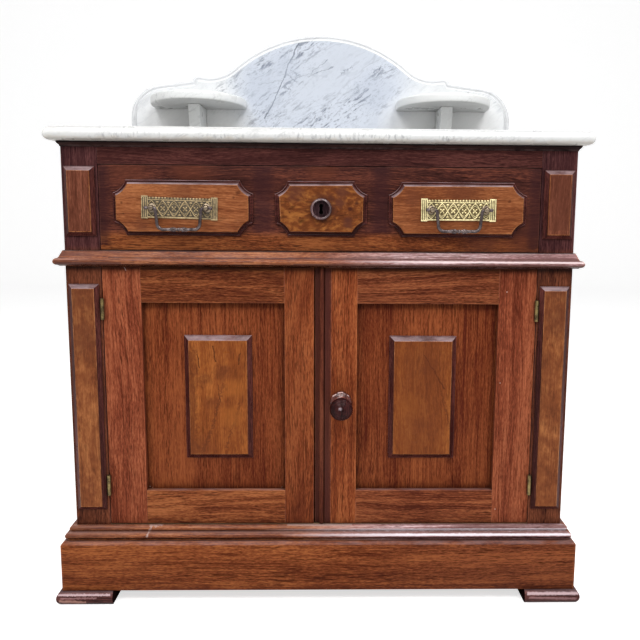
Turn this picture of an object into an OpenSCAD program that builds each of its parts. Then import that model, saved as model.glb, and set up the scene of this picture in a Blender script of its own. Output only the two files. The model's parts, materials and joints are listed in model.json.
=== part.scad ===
// Washstand commode: a walnut cabinet with one drawer over two doors,
// under a marble slab that carries a shaped backsplash and two soap shelves.
// Millimetres. +Z is up and the front faces -Y. Modules draw with the face of
// the front posts at y = 0, and from_face() moves them into the common frame.

/* [Cabinet] */
// Width of the cabinet across its posts
carcase_w = 725; // [640:5:820]
// Depth of the cabinet from the face of the posts to the back
carcase_d = 380; // [340:5:440]
// Width of each front post
post_w = 50; // [46:1:60]
// Depth of each front post
post_d = 40; // [34:1:50]
// Width of each back post
back_post_w = 30; // [26:1:40]
// Depth of each back post
back_post_d = 40; // [30:1:50]
// Thickness of the side rails
side_t = 22; // [19:1:26]
// Thickness of the sunk side panels
side_panel_t = 8; // [6:1:10]
// Depth of the side panels below the face of the side rails
side_recess = 7; // [4:0.5:9]
// Height of the top rail of each side
side_top_rail_h = 45; // [36:1:60]
// Height of the middle rail of each side
side_mid_rail_h = 54; // [46:1:70]
// Height of the side bottom rail that shows above the base moulding
side_low_rail_show = 44; // [30:1:60]
// How deep loose panels sit in their grooves
groove = 8; // [5:1:10]
// Thickness of the back boards
back_t = 12; // [9:1:16]
// Number of back boards
back_boards_n = 5; // [4:1:7]
// Gap between two back boards
back_board_gap = 0.6; // [0.4:0.1:1.5]
// Height of the back boards' lower ends above the floor
back_board_low = 60; // [40:1:90]
// Thickness of the cupboard floor
floor_t = 18; // [14:1:22]
// Thickness of the top rail and the back rail, front to back
rail_d = 22; // [20:1:30]

/* [Levels] */
// Height of the feet
foot_h = 20; // [16:1:30]
// Height of the plinth boards
plinth_h = 75; // [55:1:90]
// Height of the base moulding
base_h = 21; // [20.5:0.5:26]
// Height of the door opening
door_open_h = 385; // [340:5:440]
// Height of the waist moulding and of the rail behind it
waist_h = 22; // [20:1:28]
// Height of the drawer opening
drawer_open_h = 120; // [112:1:140]
// Height of the top rail that shows under the cornice
top_rail_show = 23.5; // [18:0.5:32]
// Height of the cornice moulding
cornice_h = 7.5; // [6:0.5:10]

/* [Mouldings and feet] */
// How far the waist moulding stands out
waist_out = 13.7; // [12:0.1:18]
// How far the base moulding stands out
base_out = 14.2; // [12:0.1:17]
// How far the plinth stands out
plinth_out = 19.7; // [18:0.1:24]
// Bevel along the plinth's top edge
plinth_bevel = 4.2; // [2:0.1:5]
// How far the cornice stands out
cornice_out = 4.5; // [3.5:0.1:6]
// How far each foot stands out
foot_out = 27.3; // [25:0.1:34]
// Width of each foot
foot_w = 83; // [76:1:100]
// Depth of each foot
foot_d = 83; // [76:1:100]
// Radius of the rounded edges of a foot
foot_round = 12; // [11.5:0.5:20]

/* [Raised panels] */
// Margin left on each side of the raised panels on the posts
post_panel_side = 3.5; // [2.5:0.5:8]
// Gap between the base moulding and a lower post panel
lower_panel_gap = 24; // [18:1:40]
// Gap between a lower post panel and the waist moulding
lower_panel_top = 26; // [18:1:40]
// Gap between the waist moulding and an upper post panel
upper_panel_gap = 20; // [12:1:24]
// Gap between an upper post panel and the cornice
upper_panel_top = 27; // [20:1:34]
// How far the panels on posts and doors stand up
panel_rise = 8; // [6:0.5:9]
// How far the panels on the drawer stand up
drawer_panel_rise = 10; // [8:0.5:12]
// Height of the straight lip under a panel's bevel
panel_lip = 3; // [2:0.5:4]
// Width of the bevel round a raised panel
panel_bevel = 5; // [3:0.5:7]
// Width of the centre panel on the drawer
centre_panel_w = 130; // [110:1:136]
// Distance of the end panels from the ends of the drawer
end_panel_side = 20; // [14:0.5:26]
// Gap between the centre panel and each end panel
panel_gap = 30.5; // [24:0.5:40]
// Gap between a drawer panel and the rails above and below it
drawer_panel_gap = 21.5; // [16:0.5:26]
// Radius of the hollow corners of the drawer panels
scoop_r = 27; // [22:0.5:31]
// Distance of the middle of each hollow outside the panel, both ways
scoop_out = 7.8; // [5:0.2:11]

/* [Drawer] */
// Gap round the drawer front
drawer_gap = 1; // [0.6:0.1:2]
// Thickness of the drawer front
drawer_front_t = 20; // [18:1:24]
// Gap between the back of the drawer and the back boards
drawer_back_gap = 33; // [15:1:90]
// Thickness of the drawer sides and back
drawer_side_t = 12; // [10:1:14]
// Gap between the drawer sides and the top rail above them
drawer_side_top = 19.7; // [12:0.1:30]
// Thickness of the drawer bottom
drawer_bottom_t = 6; // [5:1:8]
// Height of the drawer bottom above the lower edge of the sides
drawer_bottom_up = 8; // [6:1:14]
// Depth of the grooves that hold the drawer bottom
drawer_groove = 5; // [3:0.5:6]
// Clearance between the drawer sides and the runners
runner_gap = 0.3; // [0.3:0.1:0.8]
// Width of the runner that reaches into the drawer opening
runner_reach = 17; // [14:1:30]
// Height of the guide that keeps the drawer straight
guide_h = 25; // [15:1:40]

/* [Drawer fittings] */
// Width of a bail's back plate
plate_w = 106; // [94:1:120]
// Height of a bail's back plate
plate_h = 30; // [24:1:36]
// Thickness of a bail's back plate
plate_t = 1.6; // [1.2:0.1:2.5]
// Distance between the two posts of a bail
bail_boring = 76; // [70:1:84]
// Drop of the bail from its pivots to its bottom bar
bail_drop = 30; // [25:0.5:36]
// Radius of the bail's wire
bail_r = 1.9; // [1.5:0.1:2.4]
// How far the left bail and its plate sit left of the middle of their panel
left_bail_out = 4; // [0:0.5:8]
// Distance of the bail's pivots from its plate
bail_stand = 9.5; // [8:0.5:13]
// Radius of the round heads that hold a bail
bail_head_r = 4.4; // [4:0.1:5.5]
// Clearance of the bail's ends in their holes
bail_clear = 0.05; // [0.03:0.01:0.1]
// Radius of the turned keyhole ring
ring_r = 15.2; // [13:0.1:18]
// Height of the keyhole ring
ring_h = 7; // [5:0.5:9]
// Radius of the dish inside the keyhole ring
ring_dish_r = 11.6; // [10.5:0.1:12.5]
// Radius of the round ends of the keyhole
key_r = 3; // [2:0.1:3.5]
// Distance between the centres of the keyhole's round ends
key_span = 9; // [7:0.5:10]
// Width of the slot that joins the keyhole's round ends
key_waist = 4.3; // [3:0.1:5]
// Width of the lock case
lock_w = 62; // [50:1:76]
// How far the lock case reaches below the middle of the keyhole
lock_low = 17; // [14:0.5:24]
// Thickness of the lock case
lock_t = 11.5; // [10:0.5:13]
// Width of the lock's bolt
lock_bolt_w = 24; // [18:1:30]
// Thickness of the lock's bolt
lock_bolt_t = 6; // [4:0.5:7]
// Height of the lock's bolt
lock_bolt_h = 20; // [16:1:26]
// How far the lock's bolt rises
lock_throw = 7; // [5:0.5:9]
// Clearance round a bolt
bolt_clear = 0.4; // [0.3:0.1:0.8]

/* [Doors] */
// Thickness of the door frames
door_t = 22; // [20:1:25]
// Gap between a door and its post
door_gap = 1; // [0.8:0.1:1.6]
// Gap above and below the doors
door_end_gap = 1.3; // [0.8:0.1:2.5]
// Distance of the meeting line of the doors to the left of the middle
meeting_x = 9.1; // [6:0.1:12]
// Gap between the two doors
meeting_gap = 1.6; // [1.4:0.1:2.5]
// Width of the stile at the hinges of each door
hinge_stile_w = 54; // [46:1:64]
// Width of the door rails
door_rail_h = 51; // [42:1:60]
// Distance of the sunk fields from the middle of the cabinet
field_x = 52.5; // [48:0.5:60]
// Depth of the sunk door fields
field_recess = 10; // [9.5:0.5:12]
// Thickness of the sunk door panels
field_t = 7; // [5:1:8]
// Length of the tenons on the door rails
tenon_l = 24; // [16:1:30]
// Width of the beaded strip at the meeting edge
astragal_w = 23.3; // [20:0.1:26]
// Radius of the bead on that strip
bead_r = 3.3; // [2.5:0.1:3.6]
// Margin of a sunk field beside its raised panel
door_panel_side = 53.5; // [40:0.5:64]
// Margin of a sunk field above and below its raised panel
door_panel_end = 48.2; // [30:0.1:70]
// How far the raised door panels sit off the middle of their fields, inwards
door_panel_in = 5.5; // [0:0.5:8]

/* [Door fittings] */
// Height of a hinge
hinge_h = 30; // [26:1:40]
// Depth of a hinge leaf let into the wood
hinge_leaf_d = 18; // [14:1:20]
// Thickness of a hinge leaf
hinge_leaf_t = 1.2; // [1:0.1:1.6]
// Radius of a hinge's barrel
hinge_r = 2.75; // [2.5:0.05:3.2]
// Radius of a hinge's pin
pin_r = 1.2; // [1:0.1:1.5]
// Clearance of the pin in the middle knuckle
pin_clear = 0.05; // [0.03:0.01:0.08]
// Distance of each hinge's centre from the end of the opening
hinge_inset = 61.5; // [45:0.5:90]
// Gap between a barrel and the faces behind it
barrel_gap = 0.35; // [0.3:0.05:0.5]
// Largest radius of the door knob
knob_r = 16.5; // [14:0.5:19]
// Length of the door knob
knob_len = 52; // [44:1:60]
// Distance of the knob to the right of the middle
knob_x = 29.5; // [26:0.5:32]
// Height of the knob above the lower end of the door opening
knob_up = 187; // [150:1:230]
// Radius of the knob's spindle
spindle_r = 4; // [3:0.5:5]
// Clearance between the turning knob and the door
knob_gap = 0.3; // [0.3:0.1:0.6]
// Length of the turn latch from the spindle
latch_l = 58; // [52:1:70]
// Width of the turn latch
latch_w = 14; // [12:1:18]
// Thickness of the turn latch
latch_t = 4; // [3:0.5:6]
// Radius of the left door's sliding bolt
door_bolt_r = 3; // [2.5:0.1:3.5]
// Length of the left door's sliding bolt
door_bolt_l = 50; // [44:1:60]
// How far the left door's bolt slides
door_bolt_throw = 8; // [6:0.5:10]
// Distance of that bolt from the meeting edge of the left door
door_bolt_in = 21; // [18:1:26]

/* [Marble] */
// Thickness of the slab
slab_t = 20.5; // [18:0.5:26]
// How far the slab overhangs the posts in front and at the sides
slab_over = 18.5; // [17:0.5:25]
// How far the slab overhangs the back
slab_back_over = 7.5; // [5:0.5:12]
// Height of the backsplash above the slab
splash_h = 203; // [190:1:230]
// Distance of the backsplash's ends from the ends of the slab
splash_side = 32; // [20:1:50]
// How far the backsplash and its shelves stand left of the middle
splash_off = 4; // [0:0.5:8]
// Thickness of the backsplash
splash_t = 19; // [16:0.5:23]
// Width of the moulded step along the backsplash's front edge
splash_edge = 8; // [5:0.5:9]
// Depth of that step
splash_edge_d = 6; // [4:0.5:8]
// Width of a soap shelf
soap_w = 168; // [150:1:190]
// Depth of a soap shelf
soap_d = 138; // [110:1:160]
// Depth of a soap shelf's straight sides
soap_side_d = 18; // [10:1:70]
// Thickness of a soap shelf
soap_t = 16; // [12:0.5:20]
// Distance of the middle of each soap shelf from the backsplash's end
soap_in = 129; // [116:1:144]
// Height of the brackets under the soap shelves
bracket_h = 68; // [55:1:80]
// Depth of a bracket at its top
bracket_top_d = 82; // [70:1:100]
// Depth of a bracket at its foot
bracket_foot_d = 62; // [50:1:70]
// Thickness of a bracket
bracket_t = 20; // [14:1:26]

/* [Hidden] */

$fn = 64;
cut = 1; // how far a cutter runs past the face that it leaves open

// Levels, from the floor up
base_z = foot_h + plinth_h;
door_z = base_z + base_h;
waist_z = door_z + door_open_h;
drawer_z = waist_z + waist_h;
top_rail_z = drawer_z + drawer_open_h;
cornice_z = top_rail_z + top_rail_show;
slab_z = cornice_z + cornice_h;
slab_top = slab_z + slab_t;

// Plan
half_w = carcase_w / 2;
open_x = half_w - post_w;
back_x = half_w - back_post_w;
back_post_y = carcase_d - back_post_d;
back_board_y = carcase_d - back_t;
slab_back = carcase_d + slab_back_over;
splash_y = slab_back - splash_t;
splash_half_w = half_w + slab_over - splash_side;
soap_x = splash_half_w - soap_in;
post_mid_x = half_w - post_w / 2;
post_panel_w = post_w - 2 * post_panel_side;
lower_panel_h = door_open_h - lower_panel_gap - lower_panel_top;
upper_panel_h = drawer_open_h + top_rail_show - upper_panel_gap - upper_panel_top;
front_reach = knob_gap + knob_len;
face_y = (front_reach - slab_back) / 2;

// Drawer
drawer_x = open_x - drawer_gap;
drawer_low = drawer_z + drawer_gap;
drawer_high = top_rail_z - drawer_gap;
drawer_mid_z = (drawer_low + drawer_high) / 2;
drawer_len = back_board_y - drawer_back_gap;
drawer_panel_h = drawer_open_h - 2 * drawer_panel_gap;
end_panel_w = drawer_x - end_panel_side - panel_gap - centre_panel_w / 2;
end_panel_x = drawer_x - end_panel_side - end_panel_w / 2;
side_low = drawer_z + runner_gap;
side_high = top_rail_z - drawer_side_top;
left_bail_x = -end_panel_x - left_bail_out;
plate_y = -drawer_panel_rise;
arm_in = 3.6; // how far a bail's arms hang inside the heads
ball_out = 3; // how far its ball ends stay outside them
pivot_y = plate_y - plate_t - bail_stand;
lock_y = drawer_front_t - lock_t;
lock_h = drawer_high - drawer_mid_z + lock_low;
lock_bolt_y = lock_y + (lock_t - lock_bolt_t) / 2;

// Doors
door_low = door_z + door_end_gap;
door_high = waist_z - door_end_gap;
door_x = open_x - door_gap;
left_edge = -meeting_x - meeting_gap / 2;
right_edge = -meeting_x + meeting_gap / 2;
strip_end = right_edge + astragal_w;
field_end = door_x - hinge_stile_w;
field_low = door_low + door_rail_h;
field_high = door_high - door_rail_h;
field_mid_z = (field_low + field_high) / 2;
door_panel_x = (field_x + field_end) / 2 - door_panel_in;
door_panel_w = field_end - field_x - 2 * door_panel_side;
door_panel_h = field_high - field_low - 2 * door_panel_end;
tenon_t = field_t;
tenon_side = 9; // how far a tenon stays back from each edge of its rail
hinge_x = open_x - door_gap / 2;
hinge_y = -hinge_r - barrel_gap;
hinge_levels = [door_z + hinge_inset, waist_z - hinge_inset];
knuckle_gap = 0.4;
knuckle_h = (hinge_h - 2 * knuckle_gap) / 3;
knob_z = door_z + knob_up;
door_bolt_x = left_edge - door_bolt_in;
door_bolt_y = door_t + door_bolt_r + 1.4;
bolt_hole = door_bolt_r + bolt_clear;
guide_z = door_high - 6; // upper end of the guide on the left door's back
guide_l = 34;
guide_t = 1;
staple_h = 6;
staple_wall = 2;
grip_r = 2;
grip_l = 7; // how far the bolt's grip stands off the bolt

walnut = "#5a2418";
dark_walnut = "#401a16";
burl = "#9a5a22";
plain_wood = "#8a6a45";
brass = "#a58a4c";
bronze = "#5d5548";
marble = "#e6e8ea";

module from_face() {
    translate([0, face_y, 0]) children();
}

module both_sides() {
    children();
    mirror([1, 0, 0]) children();
}

// A block between two corners
module block(low, high) {
    translate(low) cube(high - low);
}

// Outlines drawn as (y, z) and carried along X, centred
module along_x(length) {
    rotate([90, 0, 90]) linear_extrude(length, center = true) children();
}

// Outlines drawn as (x, z) and carried along Y from y = 0
module along_y(length) {
    translate([0, length, 0]) rotate([90, 0, 0]) linear_extrude(length) children();
}

// Points of an arc, from one angle to another
function arc(middle, r, from, to, steps) =
    [for (i = [0:steps]) let (a = from + (to - from) * i / steps) middle + r * [cos(a), sin(a)]];

// Points of a quarter of an ellipse, from one angle to another
function oval(middle, rx, ry, from, to, steps) =
    [for (i = [0:steps]) let (a = from + (to - from) * i / steps) middle + [rx * cos(a), ry * sin(a)]];

// Mouldings: each outline is (out, up), with out measured forward of the face
waist_nose_r = 5;
waist_profile = concat(
    [[0, 0], [6, 0]],
    arc([waist_out - waist_nose_r, 6.5], waist_nose_r, -90, 90, 8),
    [[waist_out - waist_nose_r - 1.5, 12.5], [2.5, waist_h], [0, waist_h]]
);
base_reed_r = 4.8;
base_bead_r = 4;
base_profile = concat(
    [[0, 0], [base_out - 3.5, 0]],
    arc([base_out - base_reed_r, base_reed_r + 2.6], base_reed_r, -75, 90, 8),
    [[6.3, 12.4]],
    arc([4.6, base_h - base_bead_r], base_bead_r, -60, 90, 7),
    [[0, base_h]]
);
cornice_profile = concat(
    [[0, 0], [0.8, 0]],
    [[1.4, cornice_h * 0.3], [cornice_out - 1, cornice_h * 0.55], [cornice_out, cornice_h * 0.75]],
    [[cornice_out, cornice_h], [0, cornice_h]]
);
plinth_profile = [
    [0, 0], [plinth_out, 0], [plinth_out, plinth_h - plinth_bevel],
    [plinth_out - plinth_bevel, plinth_h], [0, plinth_h]
];

// A moulding across the front, mitred at both ends
module front_run(profile, reach, z, height) {
    translate([0, 0, z]) intersection() {
        along_x(carcase_w + 4 * reach) polygon([for (p = profile) [-p[0], p[1]]]);
        linear_extrude(height) polygon([
            [-half_w - reach, -reach], [half_w + reach, -reach], [half_w, 0], [-half_w, 0]
        ]);
    }
}

// The same moulding along one side, mitred at the front and square at the back
module side_run(profile, reach, z, height) {
    translate([0, 0, z]) intersection() {
        translate([0, -2 * reach, 0]) along_y(carcase_d + 2 * reach)
            polygon([for (p = profile) [half_w + p[0], p[1]]]);
        linear_extrude(height) polygon([
            [half_w, 0], [half_w + reach, -reach], [half_w + reach, carcase_d], [half_w, carcase_d]
        ]);
    }
}

// A raised panel with a straight lip and bevelled edges, standing on the plane
// y = 0 with its middle at the origin
module raised_panel(w, h, rise) {
    intersection() {
        along_x(w) polygon([
            [0, -h / 2], [-panel_lip, -h / 2], [-rise, -h / 2 + panel_bevel],
            [-rise, h / 2 - panel_bevel], [-panel_lip, h / 2], [0, h / 2]
        ]);
        translate([0, 0, -h / 2]) linear_extrude(h) polygon([
            [-w / 2, 0], [-w / 2, -panel_lip], [-w / 2 + panel_bevel, -rise],
            [w / 2 - panel_bevel, -rise], [w / 2, -panel_lip], [w / 2, 0]
        ]);
    }
}

// The same panel with its corners hollowed out and bevelled too
module scooped_panel(w) {
    difference() {
        raised_panel(w, drawer_panel_h, drawer_panel_rise);
        for (x = [-1, 1] * (w / 2 + scoop_out), z = [-1, 1] * (drawer_panel_h / 2 + scoop_out))
            translate([x, 0, z]) rotate([90, 0, 0]) {
                translate([0, 0, -cut]) cylinder(r = scoop_r, h = panel_lip + cut);
                translate([0, 0, panel_lip])
                    cylinder(r1 = scoop_r, r2 = scoop_r + panel_bevel, h = drawer_panel_rise - panel_lip);
            }
    }
}

// Outline of a foot's rounded edge: up from the floor, nose at out = 0
module foot_section(length, square_end) {
    intersection() {
        union() {
            translate([foot_round, foot_h / 2]) circle(r = foot_round);
            translate([foot_round, 0]) square([length - foot_round, foot_h]);
        }
        square([length - square_end, foot_h]);
    }
}

module front_foot() {
    intersection() {
        translate([half_w + foot_out - foot_w / 2, -foot_out, 0])
            along_x(foot_w) foot_section(foot_d, 0);
        translate([half_w + foot_out, -foot_out, 0])
            mirror([1, 0, 0]) along_y(foot_d) foot_section(foot_w, 0);
    }
}

module back_foot() {
    translate([half_w + foot_out, carcase_d - foot_d, 0])
        mirror([1, 0, 0]) along_y(foot_d) foot_section(foot_w, 0);
}

module front_feet() {
    color(walnut) from_face() both_sides() front_foot();
}

module back_feet() {
    color(walnut) from_face() both_sides() back_foot();
}

module plinth_front() {
    color(walnut) from_face() front_run(plinth_profile, plinth_out, foot_h, plinth_h);
}

module plinth_sides() {
    color(walnut) from_face() both_sides() side_run(plinth_profile, plinth_out, foot_h, plinth_h);
}

module base_moulding_front() {
    color(walnut) from_face() front_run(base_profile, base_out, base_z, base_h);
}

module base_moulding_sides() {
    color(walnut) from_face() both_sides() side_run(base_profile, base_out, base_z, base_h);
}

module waist_moulding_front() {
    color(walnut) from_face() front_run(waist_profile, waist_out, waist_z, waist_h);
}

module waist_moulding_sides() {
    color(walnut) from_face() both_sides() side_run(waist_profile, waist_out, waist_z, waist_h);
}

module cornice() {
    color(dark_walnut) from_face() {
        front_run(cornice_profile, cornice_out, cornice_z, cornice_h);
        both_sides() side_run(cornice_profile, cornice_out, cornice_z, cornice_h);
    }
}

// The two sunk panels of the right side, also used to cut their grooves
module right_side_panels() {
    for (span = [
        [door_z + side_low_rail_show, waist_z + waist_h / 2 - side_mid_rail_h / 2],
        [waist_z + waist_h / 2 + side_mid_rail_h / 2, slab_z - side_top_rail_h]
    ])
        block(
            [half_w - side_recess - side_panel_t, post_d - groove, span[0] - groove],
            [half_w - side_recess, back_post_y + groove, span[1] + groove]
        );
}

// The right side's three rails
module right_side_rails() {
    difference() {
        for (span = [
            [foot_h, door_z + side_low_rail_show],
            [waist_z + waist_h / 2 - side_mid_rail_h / 2, waist_z + waist_h / 2 + side_mid_rail_h / 2],
            [slab_z - side_top_rail_h, slab_z]
        ])
            block([half_w - side_t, post_d, span[0]], [half_w, back_post_y, span[1]]);
        right_side_panels();
    }
}

// Pocket or plate of a hinge leaf, let in beside the plane at x
module leaf_plate(x, thick, z) {
    block([x, 0, z - hinge_h / 2], [x + thick, hinge_leaf_d, z + hinge_h / 2]);
}

module right_front_post() {
    difference() {
        block([open_x, 0, foot_h], [half_w, post_d, slab_z]);
        right_side_panels();
        for (z = hinge_levels) leaf_plate(open_x, hinge_leaf_t, z);
    }
}

module right_back_post() {
    difference() {
        block([back_x, back_post_y, foot_h], [half_w, carcase_d, slab_z]);
        right_side_panels();
    }
}

module post_front_left() {
    color(walnut) from_face() mirror([1, 0, 0]) right_front_post();
}

module post_front_right() {
    color(walnut) from_face() right_front_post();
}

module post_back_left() {
    color(walnut) from_face() mirror([1, 0, 0]) right_back_post();
}

module post_back_right() {
    color(walnut) from_face() right_back_post();
}

module side_rails_left() {
    color(walnut) from_face() mirror([1, 0, 0]) right_side_rails();
}

module side_rails_right() {
    color(walnut) from_face() right_side_rails();
}

module side_panels_left() {
    color(walnut) from_face() mirror([1, 0, 0]) right_side_panels();
}

module side_panels_right() {
    color(walnut) from_face() right_side_panels();
}

module back_boards() {
    board_w = (2 * back_x - (back_boards_n - 1) * back_board_gap) / back_boards_n;
    color(plain_wood) from_face() for (i = [0:back_boards_n - 1])
        translate([-back_x + i * (board_w + back_board_gap), back_board_y, back_board_low])
            cube([board_w, back_t, slab_z - back_board_low]);
}

module back_rail() {
    color(plain_wood) from_face()
        block([-back_x, back_board_y - rail_d, top_rail_z], [back_x, back_board_y, slab_z]);
}

module cupboard_floor() {
    inner_x = half_w - side_t;
    color(plain_wood) from_face() difference() {
        block([-inner_x, 0, door_z - floor_t], [inner_x, back_board_y, door_z]);
        both_sides() {
            block([open_x, -cut, door_z - floor_t - cut], [half_w, post_d, door_z + cut]);
            block([back_x, back_post_y, door_z - floor_t - cut], [half_w, carcase_d, door_z + cut]);
        }
    }
}

module top_rail() {
    mortise_x = lock_bolt_w / 2 + bolt_clear;
    color(dark_walnut) from_face() difference() {
        block([-open_x, 0, top_rail_z], [open_x, rail_d, slab_z]);
        block(
            [-mortise_x, lock_bolt_y - bolt_clear, top_rail_z - cut],
            [mortise_x, lock_bolt_y + lock_bolt_t + bolt_clear, top_rail_z + lock_throw + cut]
        );
    }
}

module divider_rail() {
    color(walnut) from_face() difference() {
        block([-open_x, 0, waist_z], [open_x, post_d, drawer_z]);
        block(
            [door_bolt_x - bolt_hole, door_bolt_y - bolt_hole, waist_z - cut],
            [door_bolt_x + bolt_hole, door_bolt_y + bolt_hole, waist_z + door_bolt_throw + cut]
        );
    }
}

module drawer_runners() {
    inner_x = half_w - side_t;
    color(plain_wood) from_face() both_sides() {
        block([open_x - runner_reach, post_d, waist_z], [inner_x, back_post_y, drawer_z]);
        block([open_x, post_d, drawer_z], [inner_x, back_post_y, drawer_z + guide_h]);
    }
}

module upper_post_panels() {
    color(burl) from_face() both_sides()
        translate([post_mid_x, 0, drawer_z + upper_panel_gap + upper_panel_h / 2])
            raised_panel(post_panel_w, upper_panel_h, panel_rise);
}

module lower_post_panels() {
    color(burl) from_face() both_sides()
        translate([post_mid_x, 0, door_z + lower_panel_gap + lower_panel_h / 2])
            raised_panel(post_panel_w, lower_panel_h, panel_rise);
}

// The leaf on the right post with its middle knuckle, bored for the pin
module right_post_leaf(z) {
    difference() {
        union() {
            leaf_plate(open_x, hinge_leaf_t, z);
            block(
                [open_x, hinge_y, z - knuckle_h / 2],
                [open_x + hinge_leaf_t, cut, z + knuckle_h / 2]
            );
            translate([hinge_x, hinge_y, z - knuckle_h / 2]) cylinder(r = hinge_r, h = knuckle_h);
        }
        translate([hinge_x, hinge_y, z - hinge_h / 2]) cylinder(r = pin_r + pin_clear, h = hinge_h);
    }
}

// The leaf on the right door with its two end knuckles and the pin through them
module right_door_leaf(z) {
    leaf_plate(door_x - hinge_leaf_t, hinge_leaf_t, z);
    for (low = [z - hinge_h / 2, z + hinge_h / 2 - knuckle_h]) {
        block([door_x - hinge_leaf_t, hinge_y, low], [door_x, cut, low + knuckle_h]);
        translate([hinge_x, hinge_y, low]) cylinder(r = hinge_r, h = knuckle_h);
    }
    translate([hinge_x, hinge_y, z - hinge_h / 2]) cylinder(r = pin_r, h = hinge_h);
}

module post_hinge_leaves() {
    color(brass) from_face() both_sides() for (z = hinge_levels) right_post_leaf(z);
}

module left_hinge_leaves() {
    color(brass) from_face() mirror([1, 0, 0]) for (z = hinge_levels) right_door_leaf(z);
}

module right_hinge_leaves() {
    color(brass) from_face() for (z = hinge_levels) right_door_leaf(z);
}

// Outline of the slab's moulded edge: (in from the nose, up from the underside)
slab_nose = 8.5;
slab_edge = concat(
    oval([9, slab_nose], 9, slab_nose, 270, 180, 6),
    oval([13, slab_nose], 13, slab_t - slab_nose - 1, 180, 90, 8),
    [[14, slab_t - 1], [14.5, slab_t]]
);

module marble_slab() {
    slab_x = half_w + slab_over;
    left = [for (p = slab_edge) [-slab_x + p[0], p[1]]];
    right = [for (i = [len(slab_edge) - 1:-1:0]) [slab_x - slab_edge[i][0], slab_edge[i][1]]];
    front = [for (p = slab_edge) [-slab_over + p[0], p[1]]];
    color(marble) from_face() translate([0, 0, slab_z]) intersection() {
        translate([0, -slab_over, 0]) along_y(slab_back + slab_over) polygon(concat(left, right));
        along_x(2 * slab_x) polygon(concat(front, [[slab_back, slab_t], [slab_back, 0]]));
    }
}

// Right half of the backsplash outline, drawn inset from the outer edge, with
// up measured from the slab: dome, hollow, crest, shoulder and end
dome_r = 246;
dome_x = 160;
hollow_r = 70;
crest_r = 12;
shoulder_r = 60;
function splash_half(inset) =
    let (
        turn = acos(dome_x / dome_r),
        dome_mid = [0, splash_h - dome_r],
        hollow_mid = dome_mid + (dome_r + hollow_r) * [cos(turn), sin(turn)],
        crest_mid = hollow_mid + [19, -hollow_r - crest_r + 2],
        shoulder_mid = [splash_half_w - shoulder_r, hollow_mid[1] - hollow_r - 14 - shoulder_r]
    )
    concat(
        arc(dome_mid, dome_r - inset, 90, turn, 12),
        arc(hollow_mid, hollow_r + inset, 180 + turn, 270, 7),
        arc(crest_mid, crest_r - inset, 95, 15, 5),
        arc(shoulder_mid, shoulder_r - inset, 88, 0, 9),
        [[splash_half_w - inset, 0]]
    );

module splash_outline(inset) {
    half = splash_half(inset);
    polygon(concat(half, [for (i = [len(half) - 1:-1:1]) [-half[i][0], half[i][1]]]));
}

module backsplash() {
    color(marble) from_face() translate([-splash_off, splash_y, slab_top]) {
        along_y(splash_edge_d) splash_outline(splash_edge);
        translate([0, splash_edge_d, 0]) along_y(splash_t - splash_edge_d) splash_outline(0);
    }
}

module soap_shelves() {
    bow = oval([0, -soap_side_d], soap_w / 2, soap_d - soap_side_d, 180, 360, 24);
    color(marble) from_face() for (x = [-soap_x, soap_x] - [splash_off, splash_off])
        translate([x, splash_y, slab_top + bracket_h]) linear_extrude(soap_t)
            polygon(concat([[-soap_w / 2, 0]], bow, [[soap_w / 2, 0]]));
}

module shelf_brackets() {
    color(marble) from_face() for (x = [-soap_x, soap_x] - [splash_off, splash_off])
        translate([x, splash_y, slab_top]) along_x(bracket_t)
            polygon([[0, 0], [-bracket_foot_d, 0], [-bracket_top_d, bracket_h], [0, bracket_h]]);
}

// The keyhole: two round ends joined by a narrower slot, cut along Y
module keyhole(from, to) {
    for (z = [-key_span / 2, key_span / 2])
        translate([0, from, drawer_mid_z + z]) along_y(to - from) circle(r = key_r);
    block(
        [-key_waist / 2, from, drawer_mid_z - key_span / 2],
        [key_waist / 2, to, drawer_mid_z + key_span / 2]
    );
}

// The drawer bottom, also used to cut its grooves
module drawer_bottom_board() {
    x = drawer_x - drawer_side_t + drawer_groove;
    z = side_low + drawer_bottom_up;
    block([-x, drawer_front_t - drawer_groove, z], [x, drawer_len, z + drawer_bottom_t]);
}

module drawer_front() {
    color(dark_walnut) from_face() difference() {
        block([-drawer_x, 0, drawer_low], [drawer_x, drawer_front_t, drawer_high]);
        drawer_bottom_board();
        block(
            [-lock_w / 2, lock_y, drawer_high - lock_h],
            [lock_w / 2, drawer_front_t + cut, drawer_high + cut]
        );
        keyhole(-cut, drawer_front_t);
    }
}

module right_drawer_side() {
    difference() {
        block(
            [drawer_x - drawer_side_t, drawer_front_t, side_low],
            [drawer_x, drawer_len, side_high]
        );
        drawer_bottom_board();
    }
}

module drawer_side_left() {
    color(plain_wood) from_face() mirror([1, 0, 0]) right_drawer_side();
}

module drawer_side_right() {
    color(plain_wood) from_face() right_drawer_side();
}

module drawer_back() {
    x = drawer_x - drawer_side_t;
    z = side_low + drawer_bottom_up + drawer_bottom_t;
    color(plain_wood) from_face()
        block([-x, drawer_len - drawer_side_t, z], [x, drawer_len, side_high]);
}

module drawer_bottom() {
    color(plain_wood) from_face() drawer_bottom_board();
}

module end_drawer_panels() {
    color(burl) from_face() for (x = [-end_panel_x, end_panel_x])
        translate([x, 0, drawer_mid_z]) scooped_panel(end_panel_w);
}

module centre_drawer_panel() {
    color(burl) from_face() difference() {
        translate([0, 0, drawer_mid_z]) scooped_panel(centre_panel_w);
        keyhole(-drawer_panel_rise - cut, cut);
    }
}

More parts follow.
